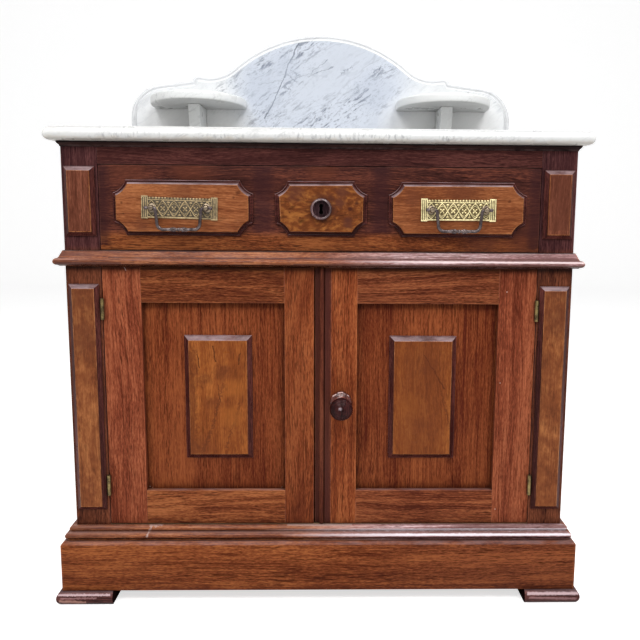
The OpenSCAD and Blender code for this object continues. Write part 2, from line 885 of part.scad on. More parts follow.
module keyhole_ring() {
    dish_h = ring_h * 0.45;
    color(dark_walnut) from_face() difference() {
        translate([0, -drawer_panel_rise, drawer_mid_z]) rotate([90, 0, 0]) rotate_extrude() polygon([
            [0, 0], [ring_r, 0], [ring_r, ring_h * 0.5], [ring_r - 0.8, ring_h * 0.8],
            [ring_r - 1.8, ring_h], [ring_dish_r + 0.6, ring_h], [ring_dish_r, ring_h - 0.7],
            [ring_dish_r - 0.4, dish_h + 0.6], [ring_dish_r - 1.4, dish_h], [0, dish_h]
        ]);
        keyhole(-drawer_panel_rise - ring_h, cut - drawer_panel_rise);
    }
}

// Lock case, with a slot for its bolt and the keyhole sunk into it
module lock_case() {
    slot_x = lock_bolt_w / 2 + bolt_clear;
    key_depth = 8;
    color(brass) from_face() difference() {
        block([-lock_w / 2, lock_y, drawer_high - lock_h], [lock_w / 2, drawer_front_t, drawer_high]);
        block(
            [-slot_x, lock_bolt_y - bolt_clear, drawer_high - lock_bolt_h - 2 * cut],
            [slot_x, lock_bolt_y + lock_bolt_t + bolt_clear, drawer_high + cut]
        );
        keyhole(lock_y - cut, lock_y + key_depth);
    }
}

// The lock's bolt, drawn back
module lock_bolt() {
    top = drawer_high - bolt_clear;
    color(brass) from_face() block(
        [-lock_bolt_w / 2, lock_bolt_y, top - lock_bolt_h],
        [lock_bolt_w / 2, lock_bolt_y + lock_bolt_t, top]
    );
}

// Back plate with the two round-headed posts that hold a bail, at the origin
module bail_plate() {
    stem_r = bail_head_r * 0.65;
    difference() {
        union() {
            block([-plate_w / 2, -plate_t, -plate_h / 2], [plate_w / 2, 0, plate_h / 2]);
            for (x = [-bail_boring / 2, bail_boring / 2])
                translate([x, 0, 0]) rotate([90, 0, 0]) rotate_extrude() polygon(concat(
                    [[0, 0], [bail_head_r + 1, 0], [bail_head_r + 1, plate_t + 1], [stem_r, plate_t + 2]],
                    arc([0, plate_t + bail_stand], bail_head_r, -48, 90, 9)
                ));
        }
        translate([0, -plate_t - bail_stand, 0]) rotate([0, 90, 0])
            cylinder(r = bail_r + bail_clear, h = bail_boring + 4 * bail_head_r, center = true);
    }
}

module bail_plates() {
    color(brass) from_face() for (x = [left_bail_x, end_panel_x])
        translate([x, plate_y, drawer_mid_z]) bail_plate();
}

// Half of a bail, hanging from its pivot line: pin, bend, arm, bend and bar
module half_bail() {
    top_bend = 4;
    low_bend = 8;
    arm_x = bail_boring / 2 - bail_head_r - arm_in;
    end_x = bail_boring / 2 + bail_head_r + ball_out;
    end_r = bail_r + 0.7;
    translate([arm_x + top_bend, 0, 0]) rotate([0, 90, 0])
        cylinder(r = bail_r, h = end_x - arm_x - top_bend);
    translate([end_x, 0, 0]) sphere(r = end_r);
    translate([arm_x + top_bend, 0, -top_bend]) rotate([90, 0, 0])
        rotate_extrude_bend(top_bend, 90);
    translate([arm_x, 0, -bail_drop + low_bend]) cylinder(r = bail_r, h = bail_drop - low_bend - top_bend);
    translate([arm_x - low_bend, 0, -bail_drop + low_bend]) rotate([90, 0, 0])
        rotate_extrude_bend(low_bend, 270);
    translate([0, 0, -bail_drop]) rotate([0, 90, 0]) cylinder(r = bail_r, h = arm_x - low_bend);
}

// A quarter bend of the bail's wire in the XY plane, starting at an angle
module rotate_extrude_bend(bend_r, start) {
    rotate([0, 0, start]) rotate_extrude(angle = 90) translate([bend_r, 0]) circle(r = bail_r);
}

module bail_at(x) {
    color(bronze) from_face() translate([x, pivot_y, drawer_mid_z]) both_sides() half_bail();
}

module bail_left() {
    bail_at(left_bail_x);
}

module bail_right() {
    bail_at(end_panel_x);
}

// A sunk door panel between two field edges, grown by its grooves
module field_board(from, to) {
    block(
        [from - groove, field_recess, field_low - groove],
        [to + groove, field_recess + field_t, field_high + groove]
    );
}

// The two rails of a door between two field edges, with their tenons
module door_rails(from, to) {
    difference() {
        for (low = [door_low, field_high]) {
            block([from, 0, low], [to, door_t, low + door_rail_h]);
            block(
                [from - tenon_l, field_recess, low + tenon_side],
                [to + tenon_l, field_recess + tenon_t, low + door_rail_h - tenon_side]
            );
        }
        field_board(from, to);
    }
}

// A door stile from one edge to another, mortised for the rails and grooved
module door_stile(low_x, high_x, from, to) {
    difference() {
        block([low_x, 0, door_low], [high_x, door_t, door_high]);
        door_rails(from, to);
        field_board(from, to);
    }
}

module left_door_stiles() {
    color(walnut) from_face() {
        difference() {
            door_stile(-door_x, -field_end, -field_end, -field_x);
            for (z = hinge_levels) mirror([1, 0, 0]) leaf_plate(door_x - hinge_leaf_t, hinge_leaf_t, z);
        }
        door_stile(-field_x, left_edge, -field_end, -field_x);
    }
}

module left_door_rails() {
    color(walnut) from_face() door_rails(-field_end, -field_x);
}

module left_door_panel() {
    color(walnut) from_face() field_board(-field_end, -field_x);
}

module left_raised_panel() {
    color(burl) from_face() translate([-door_panel_x, field_recess, field_mid_z])
        raised_panel(door_panel_w, door_panel_h, panel_rise);
}

module right_door_stiles() {
    color(walnut) from_face() {
        difference() {
            door_stile(field_end, door_x, field_x, field_end);
            for (z = hinge_levels) leaf_plate(door_x - hinge_leaf_t, hinge_leaf_t, z);
        }
        difference() {
            door_stile(strip_end, field_x, field_x, field_end);
            spindle_hole();
        }
    }
}

module right_door_rails() {
    color(walnut) from_face() door_rails(field_x, field_end);
}

module right_door_panel() {
    color(walnut) from_face() field_board(field_x, field_end);
}

module right_raised_panel() {
    color(burl) from_face() translate([door_panel_x, field_recess, field_mid_z])
        raised_panel(door_panel_w, door_panel_h, panel_rise);
}

// Strip at the meeting edge of the right door: a sunk margin, a bead and a flat
module astragal() {
    bead_x = right_edge + 9.8;
    slope = 1.5; // width of the rise from the sunk margin to the flat
    sunk = 3;
    color(walnut) from_face() translate([0, 0, door_low]) linear_extrude(door_high - door_low) union() {
        polygon([
            [right_edge, door_t], [right_edge, sunk], [bead_x + bead_r, sunk],
            [bead_x + bead_r + slope, 0], [strip_end, 0], [strip_end, door_t]
        ]);
        translate([bead_x, bead_r * 0.3]) circle(r = bead_r);
    }
}

// Clear hole for the knob's spindle through the door
module spindle_hole() {
    translate([knob_x, -cut, knob_z]) along_y(door_t + 2 * cut) circle(r = spindle_r + pin_clear);
}

// Turned knob: a flange against the door, a ring and waists, and a dished head
module door_knob() {
    flange_r = knob_r * 0.95;
    ring_out = knob_r * 0.75;
    waist_r = knob_r * 0.5;
    neck_r = knob_r * 0.62;
    rim_r = 5.5;
    rim_up = knob_len - 11;
    dimple_r = knob_r * 0.2;
    dimple_d = 2;
    color(dark_walnut) from_face() translate([knob_x, -knob_gap, knob_z]) rotate([90, 0, 0]) {
        rotate_extrude() polygon(concat(
            [[0, 0], [flange_r, 0]],
            arc([flange_r - 2, 3.5], 2.8, -40, 60, 4),
            [[neck_r, 8], [neck_r - 0.6, 12], [ring_out, 14], [ring_out, 17]],
            [[waist_r, 20], [waist_r - 0.3, 26], [neck_r, 31]],
            arc([knob_r - rim_r, rim_up], rim_r, -50, 60, 6),
            [[neck_r, knob_len - 1.8], [dimple_r + 1.5, knob_len], [dimple_r, knob_len]],
            [[dimple_r - 1, knob_len - dimple_d], [0, knob_len - dimple_d]]
        ));
        translate([0, 0, -knob_gap - door_t - knob_gap])
            cylinder(r = spindle_r, h = door_t + 2 * knob_gap + cut);
    }
}

// Bar on the inner end of the spindle; hanging is open, across the meeting line is shut
module turn_latch() {
    back = door_t + knob_gap;
    color(walnut) from_face() translate([knob_x, back, knob_z]) along_y(latch_t) union() {
        circle(r = latch_w / 2);
        translate([-latch_w / 2, -latch_l]) square([latch_w, latch_l]);
    }
}

// Guide screwed to the back of the left door: a plate with two bored staples
module door_bolt_guide() {
    guide_low = guide_z - guide_l;
    side = door_bolt_r + staple_wall;
    color(brass) from_face() difference() {
        union() {
            block(
                [door_bolt_x - 2 * side, door_t, guide_low],
                [door_bolt_x + 2 * side, door_t + guide_t, guide_z]
            );
            for (z = [guide_low + staple_wall, guide_z - staple_wall - staple_h])
                block(
                    [door_bolt_x - side, door_t, z],
                    [door_bolt_x + side, door_bolt_y + side, z + staple_h]
                );
        }
        translate([door_bolt_x, door_bolt_y, guide_low])
            cylinder(r = door_bolt_r + pin_clear, h = guide_l);
    }
}

// The sliding bolt, drawn down, with the small grip that moves it between the staples
module door_bolt() {
    top = waist_z - bolt_clear;
    grip_z = guide_z - guide_l / 2 - door_bolt_throw / 2;
    color(brass) from_face() {
        translate([door_bolt_x, door_bolt_y, top - door_bolt_l]) cylinder(r = door_bolt_r, h = door_bolt_l);
        translate([door_bolt_x, door_bolt_y, grip_z]) rotate([-90, 0, 0])
            cylinder(r = grip_r, h = door_bolt_r + grip_l);
    }
}

front_feet();
back_feet();
plinth_front();
plinth_sides();
base_moulding_front();
base_moulding_sides();
post_front_left();
post_front_right();
post_back_left();
post_back_right();
side_rails_left();
side_rails_right();
side_panels_left();
side_panels_right();
back_boards();
back_rail();
cupboard_floor();
top_rail();
divider_rail();
drawer_runners();
waist_moulding_front();
waist_moulding_sides();
cornice();
upper_post_panels();
lower_post_panels();
post_hinge_leaves();
marble_slab();
backsplash();
soap_shelves();
shelf_brackets();
drawer_front();
drawer_side_left();
drawer_side_right();
drawer_back();
drawer_bottom();
end_drawer_panels();
centre_drawer_panel();
keyhole_ring();
lock_case();
bail_plates();
lock_bolt();
bail_left();
bail_right();
left_door_stiles();
left_door_rails();
left_door_panel();
left_raised_panel();
left_hinge_leaves();
door_bolt_guide();
door_bolt();
right_door_stiles();
right_door_rails();
right_door_panel();
right_raised_panel();
right_hinge_leaves();
astragal();
door_knob();
turn_latch();
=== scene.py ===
import json
import math

import bmesh
import bpy
from mathutils import Matrix, Vector

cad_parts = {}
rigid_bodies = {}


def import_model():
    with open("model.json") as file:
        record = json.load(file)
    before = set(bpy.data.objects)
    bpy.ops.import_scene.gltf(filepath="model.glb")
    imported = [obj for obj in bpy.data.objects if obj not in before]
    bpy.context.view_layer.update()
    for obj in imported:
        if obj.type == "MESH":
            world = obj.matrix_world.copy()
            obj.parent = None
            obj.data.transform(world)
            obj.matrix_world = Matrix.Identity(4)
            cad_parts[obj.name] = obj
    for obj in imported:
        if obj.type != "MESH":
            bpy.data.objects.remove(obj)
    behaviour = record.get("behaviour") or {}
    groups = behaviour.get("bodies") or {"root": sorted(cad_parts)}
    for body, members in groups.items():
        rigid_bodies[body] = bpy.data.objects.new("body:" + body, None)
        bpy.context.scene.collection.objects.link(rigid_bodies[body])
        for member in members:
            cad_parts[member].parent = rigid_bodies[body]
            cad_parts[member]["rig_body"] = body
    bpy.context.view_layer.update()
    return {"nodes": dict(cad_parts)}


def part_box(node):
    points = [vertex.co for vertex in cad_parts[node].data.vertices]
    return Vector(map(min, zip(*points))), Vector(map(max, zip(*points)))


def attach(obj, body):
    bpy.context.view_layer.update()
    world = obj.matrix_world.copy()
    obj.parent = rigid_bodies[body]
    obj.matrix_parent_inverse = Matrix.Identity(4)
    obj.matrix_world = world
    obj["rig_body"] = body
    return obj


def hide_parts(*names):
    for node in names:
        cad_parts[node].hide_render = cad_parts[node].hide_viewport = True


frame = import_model()
mm = 0.001
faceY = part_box("post_front_left")[0].y   # face of the front posts

photoCamera = {
    "place": (12.3, -1145.7, 580.4),   # mm, from the face of the front posts
    "down": 8.62, "right": 1.45, "roll": 0.45,   # degrees
    "focal": 800.0, "centre": (349.36, 332.51), "picture": 640.0,   # pixels
}


def placeCamera(look):
    down, right, roll = (math.radians(look[k]) for k in ("down", "right", "roll"))
    forward = Vector((math.sin(right) * math.cos(down), math.cos(right) * math.cos(down), -math.sin(down)))
    side = Vector((math.cos(right), -math.sin(right), 0))
    up = side.cross(forward)
    turned = math.cos(roll) * side + math.sin(roll) * up
    upright = math.cos(roll) * up - math.sin(roll) * side
    x, y, z = look["place"]
    camera = bpy.data.objects.new("photoCamera", bpy.data.cameras.new("photoCamera"))
    camera.matrix_world = Matrix.Translation((x * mm, y * mm + faceY, z * mm)) @ Matrix(
        (turned, upright, -forward)).transposed().to_4x4()
    size = look["picture"]
    camera.data.sensor_width = 36
    camera.data.lens = 36 * look["focal"] / size
    camera.data.shift_x = (size / 2 - look["centre"][0]) / size
    camera.data.shift_y = (look["centre"][1] - size / 2) / size
    bpy.context.scene.collection.objects.link(camera)
    bpy.context.scene.camera = camera


placeCamera(photoCamera)
print("camera placed")


def put(tree, kind, values=None, **settings):   # adds one node; its values are numbers or other nodes' sockets
    node = tree.nodes.new("ShaderNode" + kind)
    for name, value in settings.items():
        setattr(node, name, value)
    for name, value in (values or {}).items():
        if isinstance(value, bpy.types.NodeSocket):
            tree.links.new(value, node.inputs[name])
        else:
            node.inputs[name].default_value = value
    return node


def calc(tree, operation, first, second=0.0, third=0.0, clamp=False):
    return put(tree, "Math", {0: first, 1: second, 2: third}, operation=operation, use_clamp=clamp).outputs[0]


def spread(tree, value, low, high, toLow=0.0, toHigh=1.0):   # maps low..high to toLow..toHigh and clamps
    return put(tree, "MapRange", {"Value": value, "From Min": low, "From Max": high,
                                  "To Min": toLow, "To Max": toHigh}).outputs[0]


def tint(tree, factor, first, second, mode="MIX"):   # mixes two colours
    return put(tree, "Mix", {0: factor, 6: first, 7: second}, data_type="RGBA", blend_type=mode).outputs[2]


def ramp(tree, factor, tones):   # the dark, middle and light tone at 0, 0.5 and 1
    node = put(tree, "ValToRGB", {"Fac": factor})
    band = node.color_ramp.elements
    dark, middle, light = ((*tone, 1) for tone in tones)
    band[0].color, band[1].color = dark, light
    band.new(0.5).color = middle
    return node.outputs["Color"]


def stretch(tree, vector, scale, place=(0, 0, 0), turn=(0, 0, 0)):
    return put(tree, "Mapping", {"Vector": vector, "Location": place, "Rotation": turn, "Scale": scale}).outputs[0]


def cloud(tree, vector, scale, detail=2.0, rough=0.5):   # soft noise, about 0.5 on average
    values = {"Vector": vector, "Scale": scale, "Detail": detail, "Roughness": rough}
    return put(tree, "TexNoise", values).outputs["Fac"]


def newGroup(name, inputs, outputs):
    group = bpy.data.node_groups.new(name, "ShaderNodeTree")
    for label, kind, value in inputs:
        socket = group.interface.new_socket(name=label, in_out="INPUT", socket_type="NodeSocket" + kind)
        if value is not None:
            socket.default_value = value
    for label, kind in outputs:
        group.interface.new_socket(name=label, in_out="OUTPUT", socket_type="NodeSocket" + kind)
    return group, group.nodes.new("NodeGroupInput").outputs, group.nodes.new("NodeGroupOutput").inputs


def useGroup(tree, group, values):
    node = tree.nodes.new("ShaderNodeGroup")
    node.node_tree = group
    for name, value in values.items():
        if isinstance(value, bpy.types.NodeSocket):
            tree.links.new(value, node.inputs[name])
        else:
            node.inputs[name].default_value = value
    return node.outputs


def newMaterial(name):
    material = bpy.data.materials.new(name)
    material.use_nodes = True
    tree = material.node_tree
    tree.nodes.clear()
    shader = put(tree, "BsdfPrincipled")
    put(tree, "OutputMaterial", {"Surface": shader.outputs[0]})
    return material, tree, shader, put(tree, "TexCoord").outputs["Object"]


def warped(tree, vector, scale, amount, detail=2.0):   # pushes a position about by soft noise
    shove = put(tree, "TexNoise", {"Vector": vector, "Scale": scale, "Detail": detail}).outputs["Color"]
    centred = put(tree, "VectorMath", {0: shove, 1: (0.5, 0.5, 0.5)}, operation="SUBTRACT").outputs[0]
    sized = put(tree, "VectorMath", {0: centred, "Scale": amount}, operation="SCALE").outputs[0]
    return put(tree, "VectorMath", {0: vector, 1: sized}, operation="ADD").outputs[0]


def makeTimberGrain():   # straight timber whose grain runs along Z
    group, given, result = newGroup("timberGrain", [
        ("Vector", "Vector", None), ("Figure Scale", "Float", 11.0), ("Rings", "Float", 9.0),
        ("Waviness", "Float", 0.02), ("Pore Scale", "Float", 620.0), ("Dashes", "Float", 1.0)],
        [("Figure", "Float"), ("Pores", "Float"), ("Fibre", "Float")])
    flow = warped(group, stretch(group, given["Vector"], (1, 1, 0.3)), 9, given["Waviness"])
    broad = cloud(group, stretch(group, flow, (1, 1, 0.2)), given["Figure Scale"], 1.5, 0.45)
    rings = calc(group, "SINE", calc(group, "MULTIPLY", calc(group, "MULTIPLY", broad, given["Rings"]), 6.28))
    fibre = cloud(group, stretch(group, flow, (1, 1, 0.09)), 620, 3, 0.7)
    dashes = cloud(group, stretch(group, flow, (1, 1, 0.5)), 1000, 2, 0.6)
    tone = cloud(group, stretch(group, given["Vector"], (1, 1, 0.4)), 13, 2)
    streaks = cloud(group, stretch(group, flow, (1, 1, 0.05)), 150, 2)
    clumps = cloud(group, stretch(group, flow, (1, 1, 0.12)), 60, 2)
    short = cloud(group, stretch(group, flow, (1, 1, 0.3)), given["Pore Scale"], 1)
    pores = calc(group, "MULTIPLY", spread(group, short, 0.54, 0.66), spread(group, clumps, 0.38, 0.60))
    figure = calc(group, "MULTIPLY_ADD", rings, 0.15, 0.5)
    for part, weight in ((fibre, 2.3), (tone, 1.35), (calc(group, "MULTIPLY_ADD", calc(
            group, "SUBTRACT", dashes, 0.5), given["Dashes"], 0.5), 1.7)):
        figure = calc(group, "ADD", figure, calc(group, "MULTIPLY", calc(group, "SUBTRACT", part, 0.5), weight))
    figure = calc(group, "SUBTRACT", figure, spread(group, streaks, 0.56, 0.68, 0.0, 0.30), clamp=True)
    for name, value in (("Figure", figure), ("Pores", pores), ("Fibre", fibre)):
        group.links.new(value, result[name])
    return group


def makeBurlFigure():   # veneer cut from a burl: clouds, swirls and small dark eyes
    group, given, result = newGroup("burlFigure", [
        ("Vector", "Vector", None), ("Scale", "Float", 90.0), ("Swirl", "Float", 0.03), ("Eye Scale", "Float", 85.0)],
        [("Figure", "Float"), ("Eyes", "Float")])
    swirl = warped(group, warped(group, given["Vector"], 14, given["Swirl"]), 60, 0.010)
    fine = cloud(group, swirl, given["Scale"], 5, 0.6)
    clouds = cloud(group, given["Vector"], 22, 2)
    cells = put(group, "TexVoronoi", {"Vector": swirl, "Scale": given["Eye Scale"]}).outputs["Distance"]
    eyes = calc(group, "MULTIPLY", spread(group, cells, 0.28, 0.08), spread(group, clouds, 0.46, 0.60))
    figure = calc(group, "ADD", calc(group, "MULTIPLY_ADD", calc(group, "SUBTRACT", fine, 0.5), 1.7, 0.5),
                  calc(group, "MULTIPLY", calc(group, "SUBTRACT", clouds, 0.5), 0.9), clamp=True)
    for name, value in (("Figure", figure), ("Eyes", eyes)):
        group.links.new(value, result[name])
    return group


def makeWearAndGrimeAndShade():   # worn outer edges, and grime with painted shade in the corners
    group, given, result = newGroup("wearAndGrimeAndShade", [
        ("Vector", "Vector", None), ("Wear Width", "Float", 0.002), ("GrimeAndShade Reach", "Float", 0.012),
        ("Patch Scale", "Float", 60.0)], [("Wear", "Float"), ("Grime", "Float"), ("Smudge", "Float")])
    edge = put(group, "AmbientOcclusion", {"Distance": given["Wear Width"]}, inside=True, samples=4,
               only_local=True).outputs["AO"]
    nook = put(group, "AmbientOcclusion", {"Distance": given["GrimeAndShade Reach"]}, samples=4).outputs["AO"]
    patches = cloud(group, given["Vector"], given["Patch Scale"], 4, 0.65)
    wear = calc(group, "MULTIPLY", spread(group, edge, 0.95, 0.45), spread(group, patches, 0.38, 0.62))
    grime = calc(group, "MULTIPLY", spread(group, nook, 0.85, 0.2), spread(group, patches, 0.2, 0.7, 0.55, 1.0))
    for name, value in (("Wear", wear), ("Grime", grime), ("Smudge", cloud(group, given["Vector"], 22, 3))):
        group.links.new(value, result[name])
    return group


def makeSettledDustAndSheen():   # dust and fading, with a painted sheen of the light above, where a surface looks up
    group, given, result = newGroup("settledDustAndSheen", [("Vector", "Vector", None), ("Patch Scale", "Float", 70.0)],
                                    [("Dust", "Float")])
    facing = put(group, "SeparateXYZ", {"Vector": put(group, "NewGeometry").outputs["Normal"]}).outputs["Z"]
    patches = cloud(group, stretch(group, given["Vector"], (0.45, 1, 1)), given["Patch Scale"], 4, 0.65)
    patches = spread(group, patches, 0.36, 0.60, 0.25, 1.0)
    group.links.new(calc(group, "MULTIPLY", spread(group, facing, 0.3, 0.8), patches), result["Dust"])
    return group


def makeStoneVeins():   # thin veins along the valleys of a warped noise
    group, given, result = newGroup("stoneVeins", [
        ("Vector", "Vector", None), ("Scale", "Float", 4.0), ("Warp", "Float", 0.12), ("Width", "Float", 0.03)],
        [("Veins", "Float"), ("Haze", "Float")])
    flow = warped(group, given["Vector"], 6, given["Warp"], 5)
    valley = calc(group, "ABSOLUTE", calc(group, "SUBTRACT", cloud(group, flow, given["Scale"], 5, 0.55), 0.5))
    core = calc(group, "SUBTRACT", 1.0, calc(group, "DIVIDE", valley, given["Width"]), clamp=True)
    veins = calc(group, "POWER", core, 2.0)
    veins = calc(group, "MULTIPLY", veins, spread(group, cloud(group, given["Vector"], 9, 3), 0.42, 0.62))
    for name, value in (("Veins", veins), ("Haze", spread(group, cloud(group, flow, 5, 6, 0.6), 0.42, 0.72))):
        group.links.new(value, result[name])
    return group


timberGrain, burlFigure = makeTimberGrain(), makeBurlFigure()
wearAndGrimeAndShade, settledDustAndSheen, stoneVeins = makeWearAndGrimeAndShade(), makeSettledDustAndSheen(), makeStoneVeins()
print("shader groups built")


def spots(tree, flat, places):   # a mask over round spots; each is x, z and radius in mm
    mask = 0.0
    for x, z, radius in places:
        away = put(tree, "VectorMath", {0: flat, 1: (x * mm, 0, z * mm)}, operation="DISTANCE").outputs["Value"]
        mask = calc(tree, "MAXIMUM", spread(tree, away, radius * mm, radius * mm * 0.35), mask)
    return mask


def strokes(tree, flat, places, fade):   # a mask along straight strokes; each is x, z, x, z and half width in mm
    mask = 0.0
    for x0, z0, x1, z1, half in places:
        start, run = Vector((x0, 0, z0)) * mm, Vector((x1 - x0, 0, z1 - z0)) * mm
        ahead = run.normalized()
        across = Vector((-ahead.z, 0, ahead.x))
        along = put(tree, "VectorMath", {0: flat, 1: ahead}, operation="DOT_PRODUCT").outputs["Value"]
        aside = put(tree, "VectorMath", {0: flat, 1: across}, operation="DOT_PRODUCT").outputs["Value"]
        aside = calc(tree, "ABSOLUTE", calc(tree, "SUBTRACT", aside, start.dot(across)))
        first, last = start.dot(ahead), start.dot(ahead) + run.length
        ends = calc(tree, "MULTIPLY", spread(tree, along, first, first + fade * mm),
                    spread(tree, along, last, last - mm))
        stroke = calc(tree, "MULTIPLY", ends, spread(tree, aside, half * mm, half * mm * 0.4))
        mask = calc(tree, "MAXIMUM", stroke, mask)
    return mask


def addMarks(tree, place, colour, marks):   # stains, knots, chips, scratches, painted highlights and painted shade, drawn by their places on the front
    for mark in marks:
        flat = stretch(tree, warped(tree, place, mark.get("grain", 120), mark["jagged"] * mm, 3), (1, 0, 1))
        mask = calc(tree, "MAXIMUM", spots(tree, flat, mark.get("spots", ())),
                    strokes(tree, flat, mark.get("strokes", ()), mark.get("fade", 1)))
        colour = tint(tree, calc(tree, "MULTIPLY", mask, mark["strength"]), colour, (*mark["colour"], 1))
    return colour


def dots(places, colour, strength, jagged, **more):   # one mark of round spots; jagged: how ragged it is, in mm
    return {"spots": places, "colour": colour, "strength": strength, "jagged": jagged, **more}


def lines(places, colour, strength, jagged, **more):   # one mark of straight strokes
    return {"strokes": places, "colour": colour, "strength": strength, "jagged": jagged, **more}


grainTurn = {"X": (0, math.pi / 2, 0), "Y": (math.pi / 2, 0, 0), "Z": (0, 0, 0)}   # brings the grain onto Z
timbers = {   # dark, middle and light of the figure; all linear
    "hingeStile": ((0.095, 0.018, 0.008), (0.200, 0.047, 0.020), (0.34, 0.100, 0.044)),
    "railLeft": ((0.070, 0.014, 0.006), (0.180, 0.048, 0.016), (0.33, 0.110, 0.038)),
    "railRight": ((0.065, 0.013, 0.006), (0.170, 0.044, 0.017), (0.31, 0.100, 0.038)),
    "field": ((0.075, 0.012, 0.005), (0.152, 0.034, 0.011), (0.26, 0.070, 0.022)),
    "frame": ((0.090, 0.016, 0.006), (0.200, 0.046, 0.014), (0.34, 0.100, 0.033)),
    "bead": ((0.050, 0.011, 0.007), (0.105, 0.027, 0.014), (0.17, 0.050, 0.026)),
    "post": ((0.026, 0.007, 0.008), (0.056, 0.017, 0.017), (0.10, 0.034, 0.032)),
    "postLow": ((0.044, 0.011, 0.006), (0.100, 0.028, 0.013), (0.19, 0.058, 0.027)),
    "top": ((0.026, 0.007, 0.006), (0.056, 0.016, 0.014), (0.105, 0.034, 0.027)),
    # the cornice's near-black tone is painted shade under the slab's overhang
    "cornice": ((0.010, 0.004, 0.004), (0.022, 0.009, 0.008), (0.045, 0.018, 0.015)),
    "drawer": ((0.028, 0.008, 0.006), (0.064, 0.018, 0.013), (0.145, 0.042, 0.024)),
    "drawerLow": ((0.060, 0.014, 0.006), (0.150, 0.038, 0.012), (0.29, 0.092, 0.028)),
    "base": ((0.075, 0.015, 0.005), (0.170, 0.042, 0.013), (0.32, 0.100, 0.030)),
    "baseRight": ((0.058, 0.012, 0.006), (0.128, 0.032, 0.012), (0.24, 0.070, 0.024)),
    "foot": ((0.028, 0.008, 0.007), (0.080, 0.024, 0.021), (0.17, 0.060, 0.052)),
    "footSide": ((0.003, 0.001, 0.001), (0.008, 0.003, 0.003), (0.016, 0.006, 0.006)),
    "moulding": ((0.085, 0.018, 0.008), (0.215, 0.060, 0.022), (0.40, 0.150, 0.062)),
    # the pale tone below is the painted sheen on the right ends of the mouldings
    "mouldingPale": ((0.13, 0.050, 0.048), (0.30, 0.150, 0.146), (0.58, 0.400, 0.41)),
    "bevel": ((0.026, 0.006, 0.005), (0.060, 0.015, 0.012), (0.12, 0.034, 0.027)),
    "arris": ((0.12, 0.034, 0.011), (0.23, 0.078, 0.026), (0.40, 0.17, 0.065)),
    "turned": ((0.045, 0.007, 0.004), (0.13, 0.022, 0.010), (0.26, 0.050, 0.022)),
    "turnedHead": ((0.008, 0.002, 0.002), (0.026, 0.006, 0.006), (0.055, 0.014, 0.013)),
    "turnedRing": ((0.030, 0.011, 0.011), (0.085, 0.038, 0.038), (0.20, 0.115, 0.115)),
    "turnedDish": ((0.010, 0.004, 0.005), (0.030, 0.013, 0.015), (0.060, 0.030, 0.034)),
    "plain": ((0.19, 0.095, 0.040), (0.33, 0.19, 0.088), (0.44, 0.28, 0.145)),
    "backing": ((0.10, 0.055, 0.027), (0.19, 0.115, 0.060), (0.27, 0.175, 0.10)),
}
polished = {"rough": 0.40, "spread": 0.16, "specular": 0.05, "coat": 0.0, "bump": 0.00022, "wear": 0.55, "dust": 0.2}
moulded = {"rough": 0.19, "spread": 0.10, "specular": 0.10, "coat": 0.08, "coatRough": 0.12, "bump": 0.00010,
           "wear": 0.4, "dust": 0.12, "grime": 0.5}
scuffed = {"rough": 0.52, "spread": 0.2, "specular": 0.12, "coat": 0.0, "bump": 0.0003, "wear": 0.7, "dust": 0.14}
bevelled = {"rough": 0.24, "spread": 0.10, "specular": 0.04, "coat": 0.03, "coatRough": 0.14, "bump": 0.00010,
            "wear": 0.25, "dust": 0.75}
footShade = {"rough": 0.85, "spread": 0.1, "specular": 0.0, "coat": 0.0, "bump": 0.0002, "wear": 0.0, "dust": 0.0}
headShine = {"rough": 0.20, "spread": 0.05, "specular": 0.06, "coat": 0.0, "bump": 0.00006, "wear": 0.2, "dust": 0.0}
neckShine = {"rough": 0.10, "spread": 0.06, "specular": 0.30, "coat": 0.25, "coatRough": 0.03, "bump": 0.00006,
             "wear": 0.3, "dust": 0.0}
ringShine = {"rough": 0.14, "spread": 0.06, "specular": 0.30, "coat": 0.4, "coatRough": 0.05, "bump": 0.00004,
             "wear": 0.6, "dust": 0.1}
dishShine = {"rough": 0.30, "spread": 0.06, "specular": 0.04, "coat": 0.0, "bump": 0.00004, "wear": 0.3, "dust": 0.0}
bareWood = {"rough": 0.68, "spread": 0.12, "specular": 0.25, "coat": 0.0, "bump": 0.00025, "wear": 0.25, "dust": 0.0}
# pinkish grey of dust and of the painted sheen on faces that look up
dustAndSheenColour = (0.46, 0.34, 0.35, 1)
timberMade = {}


def darker(colour, share, lift=0.0):
    return (*[c * share + lift for c in colour], 1)


